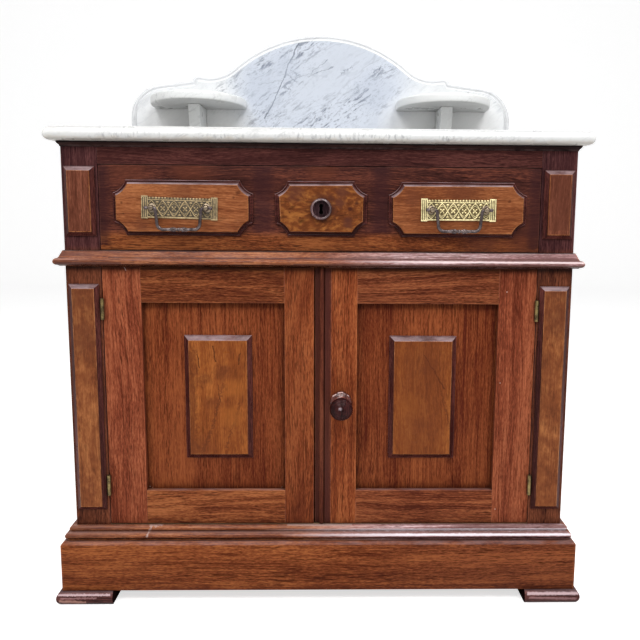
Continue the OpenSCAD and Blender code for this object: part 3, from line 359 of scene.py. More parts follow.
def timber(kind, grain="Z", shift=0.0, finish=polished, rings=9.0, dashes=1.0, waves=0.02, zone=None, marks=()):
    name = f"{kind}Wood{grain}{int(shift * 100)}"   # zone: axis, from and to in mm, and the timber beyond
    if name in timberMade:
        return timberMade[name]
    dark, middle, light = timbers[kind]
    material, tree, shader, place = newMaterial(name)
    along = stretch(tree, place, (1, 1, 1), (shift, shift * 1.7, shift * 0.6), grainTurn[grain])
    grainOut = useGroup(tree, timberGrain, {"Vector": along, "Rings": rings, "Dashes": dashes, "Waviness": waves})
    edge = useGroup(tree, wearAndGrimeAndShade, {"Vector": place})
    colour = ramp(tree, grainOut["Figure"], (dark, middle, light))
    if zone:
        axis, start, end, beyond = zone
        ahead = put(tree, "SeparateXYZ", {"Vector": warped(tree, place, 30, 6 * mm)}).outputs[axis]
        other = ramp(tree, grainOut["Figure"], timbers[beyond])
        colour = tint(tree, spread(tree, ahead, start * mm, end * mm), colour, other)
    colour = tint(tree, calc(tree, "MULTIPLY", grainOut["Pores"], 0.7), colour, darker(dark, 0.5))
    colour = addMarks(tree, place, colour, marks)
    colour = tint(tree, calc(tree, "MULTIPLY", edge["Wear"], finish["wear"]), colour, darker(light, 1.4, 0.03))
    # dust, with a painted sheen, on faces that look up
    if finish["dust"]:
        dust = useGroup(tree, settledDustAndSheen, {"Vector": place})["Dust"]
        colour = tint(tree, calc(tree, "MULTIPLY", dust, finish["dust"]), colour, dustAndSheenColour)
    # grime and painted shade darken the corners
    colour = tint(tree, calc(tree, "MULTIPLY", edge["Grime"], finish.get("grime", 0.8)), colour,
                  (0.010, 0.005, 0.005, 1))
    tree.links.new(colour, shader.inputs["Base Color"])
    rough = spread(tree, edge["Smudge"], 0.3, 0.7, finish["rough"], finish["rough"] + finish["spread"])
    rough = calc(tree, "ADD", rough, calc(tree, "MULTIPLY", grainOut["Pores"], 0.2))
    tree.links.new(rough, shader.inputs["Roughness"])
    shader.inputs["Specular IOR Level"].default_value = finish["specular"]
    if finish["coat"]:
        tree.links.new(spread(tree, edge["Grime"], 0.0, 0.8, finish["coat"], 0.0), shader.inputs["Coat Weight"])
        shader.inputs["Coat Roughness"].default_value = finish["coatRough"]
    height = calc(tree, "SUBTRACT", calc(tree, "MULTIPLY", grainOut["Fibre"], 0.35), grainOut["Pores"])
    tree.links.new(put(tree, "Bump", {"Height": height, "Distance": finish["bump"], "Strength": 0.8}).outputs[0],
                   shader.inputs["Normal"])
    timberMade[name] = material
    return material


veneers = {   # straight: how much of the figure is straight grain
    "endPanel": {"tones": ((0.108, 0.027, 0.009), (0.225, 0.070, 0.025), (0.38, 0.145, 0.056)), "grain": "X",
                 "straight": 0.75, "scale": 60,
                 "marks": [dots([(-278, 590, 2.5), (-276, 575, 1.6), (-116, 605, 5), (-122, 598, 3), (265, 596, 3),
                                 (150, 575, 2.5)], (0.055, 0.013, 0.006), 0.6, 5),
                           dots([(-191, 609, 26), (200, 608, 30), (-250, 560, 14), (130, 600, 16)],
                                (0.11, 0.032, 0.015), 0.55, 16)]},
    "centrePanel": {"tones": ((0.038, 0.009, 0.004), (0.145, 0.040, 0.011), (0.37, 0.140, 0.033)), "grain": "X",
                    "straight": 0.0, "scale": 165,
                    "marks": [dots([(-36, 607, 19), (29, 607, 13), (26, 592, 10), (4, 588, 22), (37, 563, 11)],
                                   (0.085, 0.026, 0.016), 0.7, 14),
                              dots([(41, 584, 4.2), (50, 592, 3.6), (-44, 578, 2), (-30, 571, 1.8), (20, 569, 2.2)],
                                   (0.045, 0.011, 0.007), 0.75, 4)]},
    "upperPost": {"tones": ((0.070, 0.018, 0.009), (0.136, 0.041, 0.022), (0.22, 0.075, 0.042)), "grain": "Z",
                  "straight": 0.85, "scale": 60,
                  "marks": [lines([(342, 555, 342, 640, 24)], (0.080, 0.024, 0.014), 0.45, 8)]},
    "lowerPost": {"tones": ((0.075, 0.018, 0.007), (0.200, 0.060, 0.020), (0.42, 0.165, 0.055)), "grain": "Z",
                  "straight": 0.35, "scale": 105,
                  "marks": [dots([(-352, 470, 60), (-345, 400, 45), (350, 480, 50), (352, 430, 40)],
                                 (0.09, 0.024, 0.011), 0.62, 30)]},
    "doorPanel": {"tones": ((0.095, 0.021, 0.006), (0.212, 0.056, 0.012), (0.37, 0.122, 0.028)), "grain": "Z",
                  "straight": 0.6, "scale": 70,
                  "marks": [lines([(-180, 374, -176, 352, 1.0), (-157, 386, -153, 362, 1.1),
                                   (-117, 376, -120, 358, 1.0), (-150, 330, -147, 300, 0.6),
                                   (151, 374, 166, 350, 1.1), (166, 350, 182, 322, 1.4)], (0.040, 0.009, 0.004),
                                   0.85, 6),
                            dots([(-145, 346, 15), (-170, 336, 12), (158, 356, 16)], (0.075, 0.018, 0.007), 0.45, 26,
                                 strokes=[(-188, 190, -188, 380, 9)], grain=190),
                            lines([(-183, 205, -160, 262, 3), (-160, 262, -142, 330, 2.4),
                                   (-118, 300, -140, 232, 2.0), (196, 250, 176, 322, 2.2)], (0.065, 0.016, 0.007),
                                   0.5, 14, grain=260),
                            dots([(-126, 322, 20), (-130, 280, 22), (131, 300, 22)], (0.36, 0.115, 0.022), 0.4, 14),
                            dots([(-140, 350, 12), (-160, 300, 14), (150, 270, 12), (-178, 230, 30)],
                                 (0.11, 0.026, 0.009), 0.5, 18),
                            lines([(150, 170, 150, 400, 55)], (0.12, 0.029, 0.009), 0.58, 20)]},
}


def veneer(kind, shift=0.0):
    look = veneers[kind]
    dark, middle, light = look["tones"]
    material, tree, shader, place = newMaterial(kind + "Veneer")
    along = stretch(tree, place, (1, 1, 1), (shift, shift * 1.3, shift * 0.7), grainTurn[look["grain"]])
    burl = useGroup(tree, burlFigure, {"Vector": stretch(tree, along, (1, 1, 0.6)), "Scale": look["scale"]})
    grainOut = useGroup(tree, timberGrain, {"Vector": along, "Waviness": 0.035, "Rings": 7.0})
    edge = useGroup(tree, wearAndGrimeAndShade, {"Vector": place, "Wear Width": 0.0012})
    figure = tint(tree, look["straight"], burl["Figure"], grainOut["Figure"])
    colour = ramp(tree, figure, (dark, middle, light))
    eyes = calc(tree, "MULTIPLY", burl["Eyes"], 0.75 * (1 - look["straight"]))
    colour = tint(tree, eyes, colour, darker(dark, 0.5))
    colour = tint(tree, calc(tree, "MULTIPLY", grainOut["Pores"], 0.45), colour, darker(dark, 0.6))
    colour = addMarks(tree, place, colour, look["marks"])
    colour = tint(tree, calc(tree, "MULTIPLY", edge["Wear"], 0.5), colour, darker(light, 1.3, 0.03))
    # grime and painted shade darken the corners
    colour = tint(tree, calc(tree, "MULTIPLY", edge["Grime"], 0.7), colour, (0.012, 0.005, 0.004, 1))
    tree.links.new(colour, shader.inputs["Base Color"])
    tree.links.new(spread(tree, edge["Smudge"], 0.3, 0.7, 0.26, 0.40), shader.inputs["Roughness"])
    shader.inputs["Specular IOR Level"].default_value = 0.07
    height = calc(tree, "SUBTRACT", calc(tree, "MULTIPLY", burl["Figure"], 0.4), grainOut["Pores"])
    tree.links.new(put(tree, "Bump", {"Height": height, "Distance": 0.00015, "Strength": 0.7}).outputs[0],
                   shader.inputs["Normal"])
    return material


stones = {   # lean: how far the veins lean over, in degrees; under: how much darker a face that looks down is, as painted shade
    "slab": {"body": (0.64, 0.645, 0.64), "warm": (0.65, 0.625, 0.585), "vein": (0.30, 0.30, 0.31), "haze": 0.4,
             "rough": 0.22,
             "lean": -70, "veins": 0.12, "crumbs": 0.4, "under": 0.8, "streaks": 0.85,
             "marks": [lines([(-380, 674.5, 380, 674.5, 6.0)], (0.58, 0.52, 0.44), 0.55, 10, grain=90)]},
    "splash": {"body": (0.535, 0.572, 0.640), "warm": (0.44, 0.468, 0.52), "vein": (0.12, 0.135, 0.18), "haze": 0.75,
               "rough": 0.26,
               "lean": -55, "veins": 0.25, "crumbs": 0.95, "under": 1.0, "streaks": 0.0,
               "marks": [lines([(-43, 886, -67, 837, 1.6), (-67, 837, -72, 818, 2.2), (-72, 818, -108, 746, 1.5)],
                               (0.12, 0.135, 0.17), 0.9, 9, grain=60),
                         lines([(8, 853, -24, 828, 0.9), (-24, 828, -70, 812, 0.8), (20, 842, -30, 822, 0.6),
                                (-75, 815, -118, 808, 0.6)], (0.17, 0.19, 0.24), 0.7, 11, grain=90),
                         lines([(-68, 826, -46, 812, 1.5), (-62, 834, -40, 824, 1.2), (-76, 806, -60, 798, 1.4),
                                (30, 828, 52, 842, 1.3)], (0.17, 0.19, 0.24), 0.7, 12, grain=260),
                         dots([(-118, 800, 60), (-70, 838, 40), (90, 800, 45)], (0.40, 0.44, 0.52), 0.45, 30,
                              grain=60),
                         # pale patches under the shelves: painted light that lifts the shelves' shadow
                         dots([(-262, 724, 96), (-205, 724, 92), (262, 724, 96), (185, 724, 92)],
                              (0.88, 0.88, 0.875), 0.8, 20)]},
    "shelf": {"body": (0.72, 0.73, 0.725), "warm": (0.66, 0.665, 0.66), "vein": (0.34, 0.34, 0.35), "haze": 0.5,
              "rough": 0.24,
              "lean": -60, "veins": 0.2, "crumbs": 0.4, "under": 0.62, "streaks": 0.0, "marks": []},
    "edge": {"body": (0.66, 0.67, 0.685), "warm": (0.53, 0.535, 0.54), "vein": (0.30, 0.31, 0.32), "haze": 0.6,
             "rough": 0.24,
             "lean": -55, "veins": 0.2, "crumbs": 0.5, "under": 1.0, "streaks": 0.0, "seam": 0.0, "marks": []},
}


def marble(kind):
    tones = stones[kind]
    material, tree, shader, place = newMaterial(kind + "Marble")
    leant = stretch(tree, place, (1, 1, 1), (0.31, 0.2, 0.13), (0, math.radians(tones["lean"]), 0))
    veins = useGroup(tree, stoneVeins, {"Vector": stretch(tree, leant, (1, 1, 0.3)), "Scale": 10.0, "Warp": 0.06,
                                        "Width": 0.014})
    drift = warped(tree, leant, 40, 0.012, 3)
    flecks = spread(tree, cloud(tree, stretch(tree, drift, (1, 1, 0.2)), 185, 4, 0.62), 0.53, 0.65)
    grains = spread(tree, cloud(tree, stretch(tree, drift, (1, 1, 0.4)), 420, 2, 0.6), 0.55, 0.70)
    clusters = spread(tree, cloud(tree, stretch(tree, leant, (1, 1, 0.35)), 14, 3), 0.45, 0.62, 0.15, 1.0)
    edge = useGroup(tree, wearAndGrimeAndShade, {"Vector": place, "GrimeAndShade Reach": 0.02})
    seam = useGroup(tree, wearAndGrimeAndShade, {"Vector": place, "GrimeAndShade Reach": 0.003})
    colour = tint(tree, calc(tree, "MULTIPLY", veins["Haze"], tones["haze"]), (*tones["body"], 1),
                  (*tones["warm"], 1))
    if kind == "splash":   # the bluish middle
        aside = calc(tree, "ABSOLUTE", put(tree, "SeparateXYZ", {"Vector": place}).outputs["X"])
        colour = tint(tree, spread(tree, aside, 0.13, 0.19, 0.0, 0.8), colour, (0.66, 0.67, 0.67, 1))
    colour = tint(tree, calc(tree, "MULTIPLY", veins["Veins"], tones["veins"]), colour, (*tones["vein"], 1))
    specks = calc(tree, "MULTIPLY", calc(tree, "MAXIMUM", flecks, calc(tree, "MULTIPLY", grains, 0.7)), clusters)
    colour = tint(tree, calc(tree, "MULTIPLY", specks, tones["crumbs"]), colour, (*tones["vein"], 1))
    if tones["streaks"]:   # grey figure that runs down the nose
        level = put(tree, "SeparateXYZ", {"Vector": place}).outputs["Z"]
        lines = spread(tree, cloud(tree, stretch(tree, place, (1, 1, 0.3)), 210, 3, 0.6), 0.50, 0.64)
        patches = spread(tree, cloud(tree, place, 13, 2), 0.44, 0.54)
        lines = calc(tree, "MULTIPLY", calc(tree, "MULTIPLY", lines, patches), spread(tree, level, 0.690, 0.683))
        colour = tint(tree, calc(tree, "MULTIPLY", lines, tones["streaks"]), colour, (*tones["vein"], 1))
    colour = addMarks(tree, place, colour, tones["marks"])
    # painted shade: faces that look down are darker
    facing = put(tree, "SeparateXYZ", {"Vector": put(tree, "NewGeometry").outputs["Normal"]}).outputs["Z"]
    shade = spread(tree, facing, -0.35, -0.8, 1.0, tones["under"])
    shade = put(tree, "CombineColor", {"Red": shade, "Green": shade, "Blue": shade}).outputs[0]
    colour = tint(tree, 1.0, colour, shade, "MULTIPLY")
    # grime and painted shade in the corners and at the seams
    colour = tint(tree, calc(tree, "MULTIPLY", edge["Grime"], 0.1), colour, (0.34, 0.32, 0.28, 1))
    colour = tint(tree, calc(tree, "MULTIPLY", seam["Grime"], tones.get("seam", 0.7)), colour, (0.16, 0.15, 0.13, 1))
    tree.links.new(colour, shader.inputs["Base Color"])
    tree.links.new(spread(tree, edge["Smudge"], 0.3, 0.7, tones["rough"], tones["rough"] + 0.16),
                   shader.inputs["Roughness"])
    tree.links.new(put(tree, "Bump", {"Height": veins["Haze"], "Distance": 0.0002, "Strength": 0.5}).outputs[0],
                   shader.inputs["Normal"])
    return material


metals = {
    "plateBright": {"clean": (0.72, 0.60, 0.33), "aged": (0.34, 0.27, 0.13), "grime": (0.06, 0.045, 0.024),
                    "rough": 0.30, "metal": 0.85},
    "plateDull": {"clean": (0.33, 0.245, 0.13), "aged": (0.14, 0.105, 0.060), "grime": (0.04, 0.030, 0.022),
                  "rough": 0.34, "metal": 0.85},
    "groundBright": {"clean": (0.15, 0.11, 0.045), "aged": (0.07, 0.050, 0.022), "grime": (0.03, 0.022, 0.012),
                     "rough": 0.5, "metal": 0.6},
    "groundDull": {"clean": (0.095, 0.074, 0.048), "aged": (0.045, 0.035, 0.024), "grime": (0.025, 0.019, 0.014),
                   "rough": 0.5, "metal": 0.6},
    "hingeBrass": {"clean": (0.21, 0.155, 0.062), "aged": (0.036, 0.025, 0.014), "grime": (0.015, 0.010, 0.006),
                   "rough": 0.30, "metal": 0.9},
    "bailBronze": {"clean": (0.11, 0.085, 0.082), "aged": (0.028, 0.020, 0.022), "grime": (0.010, 0.007, 0.008),
                   "rough": 0.20, "metal": 0.8},
    "postBronze": {"clean": (0.20, 0.155, 0.105), "aged": (0.06, 0.043, 0.033), "grime": (0.015, 0.010, 0.008),
                   "rough": 0.22, "metal": 0.85},
    "lockBrass": {"clean": (0.46, 0.35, 0.17), "aged": (0.19, 0.135, 0.07), "grime": (0.03, 0.02, 0.015),
                  "rough": 0.42, "metal": 0.9,
                  # painted shade: black behind the keyhole
                  "marks": [dots([(0, 583, 16)], (0.003, 0.002, 0.002), 1.0, 1)]},
    "nailIron": {"clean": (0.10, 0.085, 0.075), "aged": (0.05, 0.030, 0.020), "grime": (0.02, 0.012, 0.008),
                 "rough": 0.6, "metal": 0.7},
}


def metal(kind):
    tones = metals[kind]
    material, tree, shader, place = newMaterial(kind)
    edge = useGroup(tree, wearAndGrimeAndShade, {"Vector": place, "Wear Width": 0.0010, "GrimeAndShade Reach": 0.003,
                                         "Patch Scale": 240.0})
    patina = cloud(tree, place, 130, 5, 0.65)
    colour = tint(tree, spread(tree, patina, 0.36, 0.60), (*tones["aged"], 1), (*tones["clean"], 1))
    colour = tint(tree, calc(tree, "MULTIPLY", edge["Wear"], 0.7), colour,
                  (*[min(1, c * 1.5) for c in tones["clean"]], 1))
    colour = tint(tree, edge["Grime"], colour, (*tones["grime"], 1))
    colour = addMarks(tree, place, colour, tones.get("marks", ()))
    tree.links.new(colour, shader.inputs["Base Color"])
    tree.links.new(spread(tree, edge["Grime"], 0.0, 1.0, tones["metal"], tones["metal"] * 0.4),
                   shader.inputs["Metallic"])
    tree.links.new(spread(tree, patina, 0.3, 0.7, tones["rough"] + 0.16, tones["rough"]), shader.inputs["Roughness"])
    tree.links.new(put(tree, "Bump", {"Height": patina, "Distance": 0.00010, "Strength": 0.5}).outputs[0],
                   shader.inputs["Normal"])
    return material


slabMarble, splashMarble, shelfMarble, edgeMarble = (marble(k) for k in stones)
metalMade = {k: metal(k) for k in metals}
print("finishes built")


def isVert(item):
    return isinstance(item, bmesh.types.BMVert)


def mergedCopy(node):   # a CAD node's mesh with its doubles merged and its flat faces whole
    bm = bmesh.new()
    bm.from_mesh(frame["nodes"][node].data)
    bmesh.ops.remove_doubles(bm, verts=bm.verts, dist=0.02 * mm)
    bmesh.ops.dissolve_limit(bm, angle_limit=math.radians(0.6), verts=bm.verts, edges=bm.edges)
    return bm


def finishPiece(name, bm, materials, body, stands=(), crease=38):
    bmesh.ops.remove_doubles(bm, verts=bm.verts, dist=0.001 * mm)
    bmesh.ops.recalc_face_normals(bm, faces=bm.faces)
    mesh = bpy.data.meshes.new(name)
    bm.to_mesh(mesh)
    bm.free()
    for layer in [a.name for a in mesh.attributes if "custom" in a.name]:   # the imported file's own normals
        mesh.attributes.remove(mesh.attributes[layer])
    for material in materials:
        mesh.materials.append(material)
    mesh.shade_smooth()
    mesh.set_sharp_from_angle(angle=math.radians(crease))
    piece = bpy.data.objects.new(name, mesh)
    bpy.context.scene.collection.objects.link(piece)
    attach(piece, body)
    if stands:
        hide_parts(*stands)
    return piece


def bodyOf(node):
    return frame["nodes"][node]["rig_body"]


def pieceName(node):
    words = node.split("_")
    return words[0] + "".join(w.capitalize() for w in words[1:])


def soften(node, material, width=0.7, segments=2, angle=28, smooth=38):   # the CAD shape with its edges eased
    bm = mergedCopy(node)
    edges = [e for e in bm.edges if e.is_manifold and e.calc_face_angle(0) > math.radians(angle)]
    bmesh.ops.bevel(bm, geom=edges, offset=width * mm, offset_type="OFFSET", segments=segments, profile=0.5,
                    affect="EDGES", material=-1, clamp_overlap=True)
    for face in bm.faces:
        face.material_index = 0
    return finishPiece(pieceName(node), bm, [material], bodyOf(node), [node], smooth)


def dress(node, material):   # a CAD node that stays, in a better material
    frame["nodes"][node].material_slots[0].material = material


footInside = 320   # the inner sides of the front feet lie nearer the middle than this, in mm
paleScratch, nailGlint = (0.50, 0.37, 0.34), (0.62, 0.52, 0.45)
postZone = ("Z", 530, 515, "postLow")
waistShadow = lines([(-400, 500.5, 400, 500.5, 6.5)], (0.007, 0.003, 0.002), 0.75, 0.4)
easedNodes = {   # node: (easing in mm, its timber, grain and shift, other settings of the timber)
    "post_front_left": (0.8, "post", "Z", 0.0, {"zone": postZone, "marks": [waistShadow]}),
    "post_front_right": (0.8, "post", "Z", 1.3, {"zone": postZone, "marks": [waistShadow]}),
    "post_back_left": (0.8, "postLow", "Z", 2.1, {}),
    "post_back_right": (0.8, "postLow", "Z", 3.2, {}),
    "side_rails_left": (0.7, "frame", "Y", 0.4, {}),
    "side_rails_right": (0.7, "frame", "Y", 1.4, {}),
    "side_panels_left": (0.4, "field", "Z", 2.4, {}),
    "side_panels_right": (0.4, "field", "Z", 3.4, {}),
    "top_rail": (0.5, "top", "X", 0.7, {"waves": 0.04}),
    "divider_rail": (0.5, "frame", "X", 1.1, {}),
    "plinth_front": (0.9, "base", "X", 0.2, {"dashes": 1.2, "rings": 5, "zone": ("X", 40, 220, "baseRight")}),
    "plinth_sides": (0.9, "base", "Y", 0.9, {"dashes": 1.2}),
    "base_moulding_front": (0.3, "moulding", "X", 0.5, {
        # painted sheen: the right end turns to the pale moulding tone
        "finish": moulded, "zone": ("X", -30, 120, "mouldingPale"), "marks": [
        lines([(-400, 107.6, 400, 107.6, 1.8)], (0.22, 0.115, 0.095), 0.6, 0.6),
        lines([(190, 114.2, 400, 114.2, 2.6)], (0.10, 0.042, 0.038), 0.6, 0.8, fade=80),
        # painted highlights along the two reeds, towards the right
        lines([(-90, 109.6, 400, 109.6, 2.4), (-60, 103.8, 400, 103.8, 2.4)], (0.86, 0.78, 0.84), 0.92, 1.6,
              grain=160, fade=190),
        lines([(-50, 115.9, 48, 115.9, 0.6)], paleScratch, 0.6, 0.8),
        lines([(-240, 113.4, -400, 113.4, 3.4), (-270, 103.6, -400, 103.6, 3.6)], (0.075, 0.024, 0.018), 0.55, 0.9,
              fade=90),
        # painted shadow: a black line under the lower reed
        lines([(-400, 98.2, 400, 98.2, 1.6)], (0.005, 0.002, 0.002), 0.92, 0.5),
        lines([(-250, 118, -257, 101, 1.5), (-254, 115.6, -234, 115.9, 0.9)], paleScratch, 0.65, 7, grain=260)]}),
    "base_moulding_sides": (0.3, "moulding", "Y", 0.6, {"finish": moulded}),
    "waist_moulding_front": (0.3, "moulding", "X", 1.7, {
        # painted sheen: the right end turns to the pale moulding tone
        "finish": moulded, "zone": ("X", 0, 120, "mouldingPale"), "marks": [
        # painted shade: dark lines along the top and under the nose
        lines([(-400, 522.5, 400, 522.5, 1.1), (-400, 503.0, 400, 503.0, 2.4)], (0.012, 0.004, 0.003), 0.85, 0.5),
        # painted shade under the nose and in the dip above it
        lines([(-400, 505.4, -280, 505.4, 3.0), (-40, 504.8, 400, 504.8, 2.6), (-300, 513.3, 400, 513.3, 1.5)],
              (0.075, 0.026, 0.018), 0.72, 0.8),
        # painted highlight along the nose, towards the right
        lines([(30, 510.0, 400, 510.0, 1.7)], (0.84, 0.70, 0.70), 0.7, 1.2, grain=160, fade=120),
        lines([(-210, 507.0, -400, 507.0, 6), (-240, 518, -400, 518, 5)], (0.085, 0.024, 0.016), 0.6, 0.9, fade=110),
        # painted highlight along the nose at the left end
        lines([(-400, 511.0, -345, 511.0, 0.9)], (0.50, 0.25, 0.18), 0.45, 0.9, grain=160)]}),
    "waist_moulding_sides": (0.3, "moulding", "Y", 1.8, {"finish": moulded}),
    "cornice": (0.3, "cornice", "X", 2.2, {"marks": [
        # painted shadow: black lines under the slab
        lines([(-400, 673, 400, 673, 1.8), (-400, 667, 400, 667, 0.9)], (0.002, 0.001, 0.001), 0.9, 0.4)]}),
    "front_feet": (0.8, "foot", "X", 2.6, {"finish": scuffed, "marks": [
        lines([(-386, 6.5, -345, 5, 3.2)], (0.46, 0.24, 0.19), 0.85, 6),
        # painted shade: a dark line under the plinth
        lines([(-400, 20.4, 400, 20.4, 1.7)], (0.030, 0.009, 0.010), 0.85, 1),
        # painted highlights along the fronts of the feet
        lines([(-388, 16.2, -310, 16.2, 1.8), (310, 15.8, 388, 15.8, 2.6)], (0.66, 0.48, 0.50), 0.7, 2.6, grain=420),
        lines([(-384, 11.5, -330, 12, 1.5), (312, 10, 385, 8, 2.4)], (0.40, 0.22, 0.22), 0.5, 4, grain=420)]}),
    "back_feet": (0.8, "base", "Y", 2.9, {}),
    "left_door_stiles": (0.7, "hingeStile", "Z", 0.8, {
        "rings": 14, "waves": 0.035, "zone": ("X", -120, -60, "frame"), "marks": [
        waistShadow, lines([(-38, 90, -38, 510, 32)], (0.11, 0.027, 0.010), 0.3, 6),
        lines([(-280, 501, -277, 494, 0.8)], paleScratch, 0.8, 2)]}),
    "left_door_rails": (0.5, "railLeft", "X", 1.2, {"rings": 12, "waves": 0.035, "marks": [waistShadow]}),
    "left_door_panel": (0.4, "field", "Z", 0.3, {"rings": 5, "waves": 0.008, "marks": [
        # painted shadow of the stile along the left of the field
        lines([(-262, 160, -262, 450, 4.5)], (0.012, 0.004, 0.003), 0.7, 1),
        dots([(-255, 171, 1.2), (-251, 169.5, 0.8), (-58, 170, 1.0)], nailGlint, 0.7, 1)]}),
    "right_door_stiles": (0.7, "frame", "Z", 1.9, {
        "rings": 12, "waves": 0.025, "zone": ("X", 120, 220, "hingeStile"), "marks": [
        waistShadow,
        dots([(268.7, 466.8, 1.1), (263.4, 332.5, 0.9), (262.8, 138.7, 1.1)], nailGlint, 0.8, 0.5)]}),
    "right_door_rails": (0.5, "railRight", "X", 2.7, {"rings": 12, "waves": 0.035, "marks": [waistShadow]}),
    "right_door_panel": (0.4, "field", "Z", 1.6, {"rings": 5, "waves": 0.008}),
    "astragal": (0.4, "bead", "Z", 2.3, {"marks": [
        # a painted shade in the sunk margin, then a darker band on the flat beside the bead
        lines([(-5.2, 90, -5.2, 520, 3.6)], (0.050, 0.013, 0.009), 0.8, 0.3),
        lines([(9.5, 90, 9.5, 520, 5.5)], (0.052, 0.014, 0.011), 0.75, 0.5)]}),
    "drawer_front": (0.6, "drawer", "X", 0.1, {"waves": 0.05, "zone": ("Z", 552, 542, "drawerLow"), "marks": [
        dots([(-270, 637, 40), (-180, 637, 40), (0, 634, 30)], (0.11, 0.030, 0.015), 0.5, 30, grain=40),
        dots([(300, 540, 60), (230, 540, 40)], (0.075, 0.021, 0.013), 0.6, 20),
        lines([(-82, 550, -82, 642, 19), (85, 550, 85, 642, 17), (-310, 530, -310, 645, 16),
               (308, 528, 308, 645, 17)], (0.030, 0.009, 0.010), 0.65, 9)]}),
    "turn_latch": (0.8, "frame", "Z", 0.35, {}),
}
for node, (easing, kind, grain, shift, settings) in easedNodes.items():
    softened = soften(node, timber(kind, grain, shift, **settings), easing)
    if node == "front_feet":   # the feet's inner sides lie in the dark and get near-black wood, a painted shade
        softened.data.materials.append(timber("footSide", "Y", 0.3, footShade))
        for face in softened.data.polygons:
            if abs(face.normal.x) > 0.9 and abs(face.center.x) < footInside * mm:
                face.material_index = 1
plainNodes = {   # timber and grain
    "back_rail": ("backing", "X"), "cupboard_floor": ("plain", "X"), "drawer_runners": ("plain", "Y"),
    "drawer_side_left": ("plain", "Y"), "drawer_side_right": ("plain", "Y"),
    "drawer_back": ("plain", "X"), "drawer_bottom": ("plain", "X"),
}
for node, (kind, grain) in plainNodes.items():
    dress(node, timber(kind, grain, 0.4, bareWood))
boardCount = 5   # boards in the back
low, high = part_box("back_boards")
seams = []
for i in range(1, boardCount):
    x = (low.x + i * (high.x - low.x) / boardCount) / mm
    seams.append((x, low.z / mm, x, high.z / mm, 1.6))
dress("back_boards", timber("backing", "Z", 0.4, bareWood, marks=[
    lines(seams, (0.030, 0.018, 0.010), 0.8, 0.6)]))
print("cabinet softened")

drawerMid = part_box("centre_drawer_panel")[0].lerp(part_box("centre_drawer_panel")[1], 0.5).z
keyReach = 12   # the keyhole lies within this many mm of its middle
panelEdges = {   # steps of each moulded edge from the base up, then of its arris: (inwards, outwards) in mm
    "drawer": {"edge": [(0, 2.3), (0.15, 0.5), (0.35, 0.4), (0.5, 0.15), (0.5, -0.1), (0.35, -0.35), (0.15, -0.3),
                        (1.1, 0.45), (1.0, 1.0), (0.75, 1.6), (0.45, 2.1), (0.15, 1.9)],
               "arris": [(0.25, 0.35), (0.4, 0.05), (0.3, -0.05)]},
    "post": {"edge": [(0, 2.0), (0.35, 0.5), (0.45, 0.1), (4.9, 4.9)],
             "arris": [(0.3, 0.4), (0.35, 0.1), (0.3, 0.0)]},
    "door": {"edge": [(0, 1.8), (0.4, 0.6), (0.6, 0.1), (5.6, 5.0)], "arris": [(0.3, 0.4), (0.35, 0.1), (0.3, 0.0)]},
}


fieldMark = 9   # material number that marks the face still being moved
rimMerge = 1.1   # points of its rim closer than this, in mm, are merged


def liftSteps(bm, steps, index):   # insets the marked faces again and again, moving them outwards
    for inwards, outwards in steps:
        before = set(bm.faces)
        field = [f for f in bm.faces if f.material_index == fieldMark]
        bmesh.ops.inset_region(bm, faces=field, thickness=inwards * mm, depth=outwards * mm, use_boundary=True,
                               use_even_offset=True, use_relative_offset=False)
        for face in bm.faces:
            if face not in before:
                face.material_index = index
        if inwards:   # points that come too close are merged before their edge turns over
            rim = [v for v in bm.verts if any(f.material_index == fieldMark for f in v.link_faces)]
            bmesh.ops.remove_doubles(bm, verts=rim, dist=rimMerge * mm)


def outlineOfBack(bm, keep):   # leaves one face, turned to the front, in the outline of the back
    backs = [f for f in bm.faces if f.normal.y > 0.99]
    bmesh.ops.delete(bm, geom=[f for f in bm.faces if f not in backs], context="FACES")
    outline = [e for e in bm.edges if e.is_boundary and keep(e)]
    bmesh.ops.delete(bm, geom=[e for e in bm.edges if e not in outline], context="EDGES_FACES")
    bmesh.ops.delete(bm, geom=[v for v in bm.verts if not v.link_edges], context="VERTS")
    bmesh.ops.delete(bm, geom=list(bm.faces), context="FACES_ONLY")
    field = bmesh.ops.edgeloop_fill(bm, edges=list(bm.edges))["faces"]
    for face in field:
        face.normal_update()
        if face.normal.y > 0:
            face.normal_flip()
        face.material_index = fieldMark


keyholeLook = {"end": 3.0, "apart": 9.0, "waist": 4.3}   # mm


def keyholeLoop(bm, y0, look):   # the edges of two round ends joined by a slot
    old = set(bm.edges)
    half = look["waist"] / 2
    drop = math.sqrt(look["end"] ** 2 - half ** 2)
    sweep = 2 * math.pi - 2 * math.asin(half / look["end"])
    vert = bmesh.ops.create_vert(bm, co=(half * mm, y0, drawerMid + (look["apart"] / 2 - drop) * mm))["vert"][0]
    first = vert
    for sign in (1, -1):
        centre = Vector((0, y0, drawerMid + sign * look["apart"] / 2 * mm))
        spun = bmesh.ops.spin(bm, geom=[vert], cent=centre, axis=(0, -1, 0), angle=sweep, steps=20)["geom_last"]
        last = [v for v in spun if isVert(v)][0]
        if sign == 1:
            vert = bmesh.ops.extrude_vert_indiv(bm, verts=[last])["verts"][0]
            vert.co.z = drawerMid - (look["apart"] / 2 - drop) * mm
    bm.edges.new((last, first))
    return [e for e in bm.edges if e not in old]


